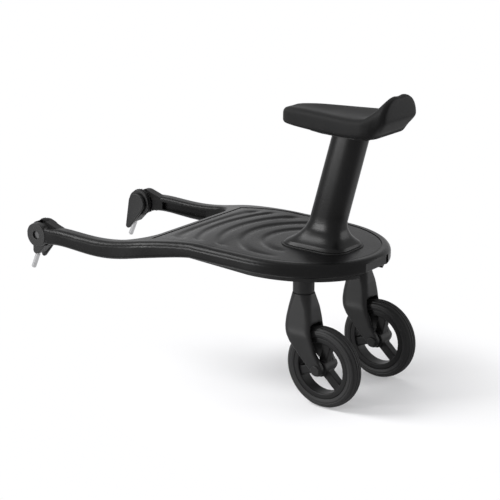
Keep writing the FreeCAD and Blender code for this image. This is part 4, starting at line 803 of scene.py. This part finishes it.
def end_cap(ring, outward, bulge, steps=9, least=0.03):
    """Rings that shrink towards the middle of an end and bulge a little."""
    middle = ring.mean(0)
    caps = []
    for size in np.linspace(1, least, steps)[1:]:
        cap = middle + (ring - middle) * size
        cap[:, 0] += outward * bulge * math.sqrt(1 - size ** 2)
        caps.append(cap)
    return caps


def skinned(name, loops, closed=False):
    """A skin over loops with the same number of points; open rows get a lid at each end."""
    rows, count = len(loops), len(loops[0])
    points = [tuple(point) for loop in loops for point in loop]
    faces = [] if closed else [tuple(range(count))[::-1], tuple(range((rows - 1) * count, rows * count))]
    for row in range(rows if closed else rows - 1):
        here, there = row * count, (row + 1) % rows * count
        for step in range(count):
            after = (step + 1) % count
            faces.append((here + step, here + after, there + after, there + step))
    mesh = bpy.data.meshes.new(name)
    mesh.from_pydata(points, [], faces)
    work = bmesh.new()
    work.from_mesh(mesh)
    bmesh.ops.remove_doubles(work, verts=work.verts, dist=SKIN_MERGE)
    bmesh.ops.recalc_face_normals(work, faces=work.faces)
    work.to_mesh(mesh)
    work.free()
    mesh.shade_smooth()
    return new_piece(name, mesh)


NOSE_BULGE = 1.5 * MM
TAIL_BULGE = 0.8 * MM
TAIL_FOLD = 415 * MM
FOLD_HEIGHT = 20 * MM
FOLD_START = 272 * MM
FOLD_RUN = 30 * MM
FOLD_DEPTH = 14 * MM
NOSE_RINGS = 7
SKIN_PASSES = 3
rings = [np.array(ring) for ring in saddle_shape()]
for ring in rings[:NOSE_RINGS]:
    ring[:, 0] += NOSE_BULGE
nose_caps = end_cap(rings[0], -1, NOSE_BULGE)
tail_caps = end_cap(rings[-1], 1, TAIL_BULGE)
for loop in tail_caps + rings:
    below = np.clip((TAIL_FOLD - loop[:, 2]) / FOLD_HEIGHT, 0, 1)
    tailward = np.clip((loop[:, 0] - FOLD_START) / FOLD_RUN, 0, 1) ** 2
    loop[:, 0] -= below * tailward * FOLD_DEPTH
saddle = skinned("saddle_cushion", nose_caps[::-1] + rings + tail_caps)
saddle = smoothed(saddle, SKIN_PASSES)
saddle.data.shade_smooth()
dress(saddle, "saddle_pad")

# %% [markdown]
# ## Saddle post
# The post leans back and carries the saddle. At its foot a skirt covers the socket; above it the wall sweeps
# in to the shaft. A level cut through the shaft is nearly an oval and one through the skirt nearly a rounded
# rectangle. One curve has both: a power above two makes an oval squarer. So the post is a stack of such cuts.

# %% Saddle post
POST_LOW = 216 * MM
POST_HIGH = 383.5 * MM
POST_LEAN = 46.5 * MM
POST_TAPER = 1.5 * MM
SHAFT_HALF = np.array((28, 20.5)) * MM
SKIRT_HALF = np.array((53, 39)) * MM
PLUG_HALF = np.array((29, 17)) * MM
SHAFT_SQUARE = 2.8
SKIRT_SQUARE = 4.2
PLUG_SQUARE = 7
PLUG_HEIGHTS = np.array((197, 216.2)) * MM
POST_ROWS = {
    "up": (0.2, 0.7, 2.6, 4.2, 5.0, 5.4, 9.6, 16.8, 25.8, 35.4),
    "spread": (0.98, 1, 0.94, 0.885, 0.855, 0.83, 0.58, 0.29, 0.09, 0),
}


def level_cut(z, half, square, steps=96):
    """One level cut through the post as a squarish oval."""
    turns = np.linspace(0, 2 * math.pi, steps, endpoint=False)
    middle = SEAT.x + POST_LEAN * max(0, (z - POST_LOW) / (POST_HIGH - POST_LOW))
    along, across = (np.sign(wave) * np.abs(wave) ** (2 / square) for wave in (np.cos(turns), np.sin(turns)))
    return np.stack((middle + half[0] * along, half[1] * across, np.full(steps, z)), 1)


cuts = [level_cut(z, PLUG_HALF, PLUG_SQUARE) for z in PLUG_HEIGHTS]
band, sweep = np.array(POST_ROWS["up"][:5]), np.linspace(POST_ROWS["up"][5], POST_ROWS["up"][-1], 18)
for up in np.concatenate((band, sweep, np.linspace(sweep[-1], (POST_HIGH - POST_LOW) / MM, 14)[1:])):
    spread = float(eased(POST_ROWS["up"], POST_ROWS["spread"], min(up, sweep[-1])))
    taper = np.array((POST_TAPER, 0)) * up * MM / (POST_HIGH - POST_LOW)
    half = SHAFT_HALF - taper + (SKIRT_HALF - SHAFT_HALF) * spread
    cuts.append(level_cut(POST_LOW + up * MM, half, SHAFT_SQUARE + (SKIRT_SQUARE - SHAFT_SQUARE) * spread ** 0.5))
post = skinned("saddle_post", cuts)
post.data.set_sharp_from_angle(angle=math.radians(35))
dress(post, "seat_post")

# %% [markdown]
# ## Casters
# Each fork is one moulding: a round collar on top, a hood over the wheel and two blades down to the axle.
# Melting the copy lets the hood flow into the blades. The rim's spokes are melted into its hub in the same way.
# The collar above the fork and the buttons on the axle's ends only get round edges.

# %% Casters
BLADE_TOP = 109.7 * MM
for side in SIDES:
    dress(melted(f"fork_{side}", f"caster_fork_{side}", 0.75 * MM, 7, BLADE_TOP), f"fork_{side}")
    dress(melted(f"wheel_rim_{side}", f"three_spoke_rim_{side}", 0.8 * MM, 5), f"wheel_rim_{side}")
    dress(bevelled(f"caster_housing_{side}", f"swivel_collar_{side}", 0.9 * MM, 3), f"caster_housing_{side}")
    dress(bevelled(f"axle_caps_{side}", f"axle_buttons_{side}", 0.7 * MM, 3), f"axle_caps_{side}")

# %% [markdown]
# ## Tyres
# A tyre is a turned ring: round shoulders, a fine line on each sidewall, and a tread with grooves that run all
# the way round. The ring is spun from one section. The grooves are a rule, a pitch and a depth across the
# tread, so a recipe presses them in towards the axle.

# %% Tyres
WHEEL_Y = 73 * MM
TYRE_BORE = 46 * MM
TYRE_WAIST = 50 * MM
TYRE_RADIUS = 60 * MM
TYRE_HALF = 11 * MM
BORE_HALF = 10.2 * MM
SHOULDER = 2.6
TREAD_HALF = 9.9 * MM
SIDE_LINE = 52 * MM
SIDE_LINE_DEPTH = 0.45 * MM
SIDE_LINE_WIDTH = 0.6 * MM
TYRE_STEPS = 160
GROOVE_WALL = (0.6, 1.2)


def turned(name, section, middle, steps):
    """Spins a closed section of (radius, across) pairs round a sideways axis."""
    loops = []
    for turn in np.linspace(0, 2 * math.pi, steps, endpoint=False):
        radius, across = section[:, 0], section[:, 1]
        loops.append(np.stack((middle[0] + radius * math.cos(turn), middle[1] + across,
                               middle[2] + radius * math.sin(turn)), 1))
    return skinned(name, loops, closed=True)


def tyre_section():
    """Half of the tyre's section from the tread's middle to the bore, then its mirror image."""
    across = np.linspace(0, TREAD_HALF, 34)
    crown = TYRE_WAIST + (TYRE_RADIUS - TYRE_WAIST) * (1 - (across / TYRE_HALF) ** SHOULDER) ** (1 / SHOULDER)
    radius = np.linspace(crown[-1], TYRE_WAIST, 16)[1:]
    flank = TYRE_HALF * (1 - ((radius - TYRE_WAIST) / (TYRE_RADIUS - TYRE_WAIST)) ** SHOULDER) ** (1 / SHOULDER)
    flank = flank - SIDE_LINE_DEPTH * np.exp(-((radius - SIDE_LINE) / SIDE_LINE_WIDTH) ** 2)
    low = np.linspace(0, 1, 5)[1:]
    half = np.concatenate((np.stack((crown, across), 1), np.stack((radius, flank), 1),
                           np.stack((TYRE_WAIST + (TYRE_BORE - TYRE_WAIST) * low,
                                     TYRE_HALF + (BORE_HALF - TYRE_HALF) * low), 1)))
    return np.concatenate((half, half[:0:-1] * (1, -1)))


def pressed_towards_axle(recipe, depth_of, material):
    """Ends a recipe that lowers each point towards a sideways axle."""
    along = recipe.place("X") - recipe.value("Axle X")
    up = recipe.place("Z") - recipe.value("Axle Z")
    radius = (along * along + up * up).root()
    depth = depth_of(along, up, radius) / radius * -1.0
    offset = recipe.node("ShaderNodeCombineXYZ", {}, {"X": along * depth, "Z": up * depth})
    pressed = recipe.node("GeometryNodeSetPosition", {}, {"Geometry": recipe.shape, "Offset": offset})
    recipe.close(pressed, material)


for side, sign in SIDES.items():
    blank = turned(f"grooved_tyre_{side}", tyre_section(), (WHEEL_X, sign * WHEEL_Y, WHEEL_Z), TYRE_STEPS)
    tread = Recipe(f"tread_grooves_{side}", {
        "Axle X": WHEEL_X, "Axle Z": WHEEL_Z, "Wheel Y": sign * WHEEL_Y, "Groove Pitch": 4.3 * MM,
        "Groove Half Width": 0.95 * MM, "Groove Depth": 1.7 * MM, "Tread Half": 9.7 * MM,
    })

    def groove_depth(along, up, radius):
        across = tread.place("Y") - tread.value("Wheel Y")
        steps = across / tread.value("Groove Pitch") + 0.5
        away = (steps.math("FRACT", steps) - 0.5) * tread.value("Groove Pitch")
        wall = away.math("ABSOLUTE", away) / tread.value("Groove Half Width")
        on_tread = across.math("LESS_THAN", across.math("ABSOLUTE", across), tread.value("Tread Half"))
        on_tread = on_tread * radius.between(TYRE_WAIST, SIDE_LINE)
        return (1 - wall.between(*GROOVE_WALL)) * on_tread * tread.value("Groove Depth")

    pressed_towards_axle(tread, groove_depth, finishes["tyre_rubber"])
    dress(tread.apply(blank), f"tyre_{side}")

# %% [markdown]
# ## Coupling heads
# A head is a barrel with a cheek, a boss for the steel pin and a sprung release plate shaped like a drop. The
# head turns on the arm, and a toothed ring inside it holds the chosen angle. All are small mouldings with
# soft edges.

# %% Coupling heads
for side in SIDES:
    dress(melted(f"coupling_head_{side}", f"pivot_head_{side}", 0.5 * MM, 5), f"coupling_head_{side}")
    dress(bevelled(f"release_button_{side}", f"release_drop_{side}", 0.5 * MM, 3, (0, -SIDES[side], 0)),
          f"release_button_{side}")
    dress(bevelled(f"pivot_bolt_{side}", f"pivot_screw_{side}", 0.5 * MM), f"pivot_bolt_{side}")
    dress(bevelled(f"coupling_pin_{side}", f"steel_pin_{side}", 0.4 * MM), f"coupling_pin_{side}")

# %% [markdown]
# ## Springs
# Behind each release drop sits a small coil spring, drawn as the plain sleeve that its coils fill. It is shorter
# when the drop is pressed; here the piece gets a mesh of its own.

# %% Springs
for side, sign in SIDES.items():
    spring = dress(joined_copy(f"button_spring_{side}", f"drop_spring_{side}"), f"button_spring_{side}")
    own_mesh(spring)

# %% [markdown]
# ## Toothed rings
# The ring in each head has small teeth all round, and they drop into the head's own teeth to hold its angle.
# A turned blank and a count of teeth are all it takes: the rule presses a notch between every two teeth.

# %% Toothed rings
HEAD_PIVOT = np.array((-271.5, 0, 179)) * MM
RING_BORE = 13 * MM
RING_RADIUS = 22.4 * MM
RING_CORNER = 0.4 * MM
TEETH = 36
STEPS_PER_TOOTH = 8
NOTCH_FLANK = (0.1, 0.4)
TOOTHED_BAND = (RING_BORE + 4 * MM, RING_RADIUS - 2 * MM)


def solid_points(node):
    """The measured solid's points as rows."""
    vertices = frame["nodes"][node].data.vertices
    points = np.empty(len(vertices) * 3)
    vertices.foreach_get("co", points)
    return points.reshape(-1, 3)


for side in SIDES:
    points = solid_points(f"ratchet_ring_{side}")
    low, high = points[:, 1].min(), points[:, 1].max()
    faces_across = np.array((low, low + RING_CORNER, high - RING_CORNER, high))
    outer = np.stack((RING_RADIUS - RING_CORNER * np.array((1, 0, 0, 1)), faces_across), 1)
    section = np.concatenate((outer, ((RING_BORE, high), (RING_BORE, low))))
    blank = turned(f"toothed_ring_{side}", section, HEAD_PIVOT, TEETH * STEPS_PER_TOOTH)
    teeth = Recipe(f"ring_teeth_{side}", {"Axle X": HEAD_PIVOT[0], "Axle Z": HEAD_PIVOT[2], "Teeth": TEETH,
                                          "Tooth Height": 1.1 * MM})

    def notch_depth(along, up, radius):
        turn = along.math("ARCTAN2", up, along) / (2 * math.pi) * teeth.value("Teeth")
        share = turn.math("FRACT", turn) - 0.5
        notch = 1 - share.math("ABSOLUTE", share).between(*NOTCH_FLANK)
        return notch * radius.between(*TOOTHED_BAND) * teeth.value("Tooth Height")

    pressed_towards_axle(teeth, notch_depth, finishes["ring_plastic"])
    ring = teeth.apply(blank)
    ring.data.set_sharp_from_angle(angle=math.radians(40))
    dress(ring, f"ratchet_ring_{side}")

# %% [markdown]
# ## Screws
# The cover and the saddle's plate are held by screws with a cross in the head. One screw is made inside the
# recipe: a head, a shank and two slots cut across each other. Then a copy is put on each measured place.

# %% Screws
SCREW_APART = 12 * MM
HEAD_HEIGHT = 2.2 * MM
HEAD_CORNERS = 24
SHANK_CORNERS = 16
SHANK_SHARE = 0.45
SLOT_LENGTH_SHARE = 1.3
SLOT_WIDTH_SHARE = 0.28


def screw_places(node):
    """Middle of each screw's head, its radius and the screw's length."""
    points = solid_points(node)
    length = float(np.ptp(points[:, 2]))
    heads = points[points[:, 2] < points[:, 2].min() + 0.05 * length]
    places = []
    for point in heads:
        if all(math.dist(point[:2], place[:2]) > SCREW_APART for place in places):
            group = heads[np.linalg.norm(heads[:, :2] - point[:2], axis=1) < SCREW_APART]
            places.append((group.min(0) + group.max(0)) / 2)
    radius = float(max(np.ptp(heads[np.linalg.norm(heads[:, :2] - place[:2], axis=1) < SCREW_APART][:, 0]) / 2
                       for place in places))
    return places, radius, length


def lifted(recipe, shape, height):
    """A shape in a recipe, moved up."""
    lift = recipe.node("ShaderNodeCombineXYZ", {}, {"Z": height})
    return recipe.node("GeometryNodeTransform", {}, {"Geometry": shape, "Translation": lift})


for node, name in (("cover_screws", "cross_screws_of_the_cover"), ("saddle_screws", "cross_screws_of_the_saddle")):
    places, radius, length = screw_places(node)
    mesh = bpy.data.meshes.new(name)
    mesh.from_pydata([tuple(place) for place in places], [], [])
    screws = Recipe(name, {
        "Head Radius": radius, "Head Height": HEAD_HEIGHT, "Shank Radius": SHANK_SHARE * radius, "Length": length,
        "Slot Length": SLOT_LENGTH_SHARE * radius, "Slot Width": SLOT_WIDTH_SHARE * radius,
    })
    head_height, full_length = screws.value("Head Height"), screws.value("Length")
    head = screws.node("GeometryNodeMeshCylinder", {}, {
        "Vertices": HEAD_CORNERS, "Radius": screws.value("Head Radius"), "Depth": head_height})
    slots = []
    for first, second in (("Slot Length", "Slot Width"), ("Slot Width", "Slot Length")):
        size = screws.node("ShaderNodeCombineXYZ", {}, {
            "X": screws.value(first), "Y": screws.value(second), "Z": head_height})
        slots.append(lifted(screws, screws.node("GeometryNodeMeshCube", {}, {"Size": size}), head_height * -0.5))
    cut_head = screws.node("GeometryNodeMeshBoolean", {"operation": "DIFFERENCE"}, {"Mesh 1": head, "Mesh 2": slots})
    shank = screws.node("GeometryNodeMeshCylinder", {}, {
        "Vertices": SHANK_CORNERS, "Radius": screws.value("Shank Radius"), "Depth": full_length - head_height})
    halves = [lifted(screws, cut_head, head_height * 0.5), lifted(screws, shank, (full_length + head_height) * 0.5)]
    screw = screws.node("GeometryNodeJoinGeometry", {}, {"Geometry": halves})
    placed = screws.node("GeometryNodeInstanceOnPoints", {}, {"Points": screws.shape, "Instance": screw})
    screws.close(placed, finishes["steel"])
    print(len(places), "screws, head radius", round(radius / MM, 2), "mm, length", round(length / MM, 1), "mm")
    dress(screws.apply(new_piece(name, mesh)), node)
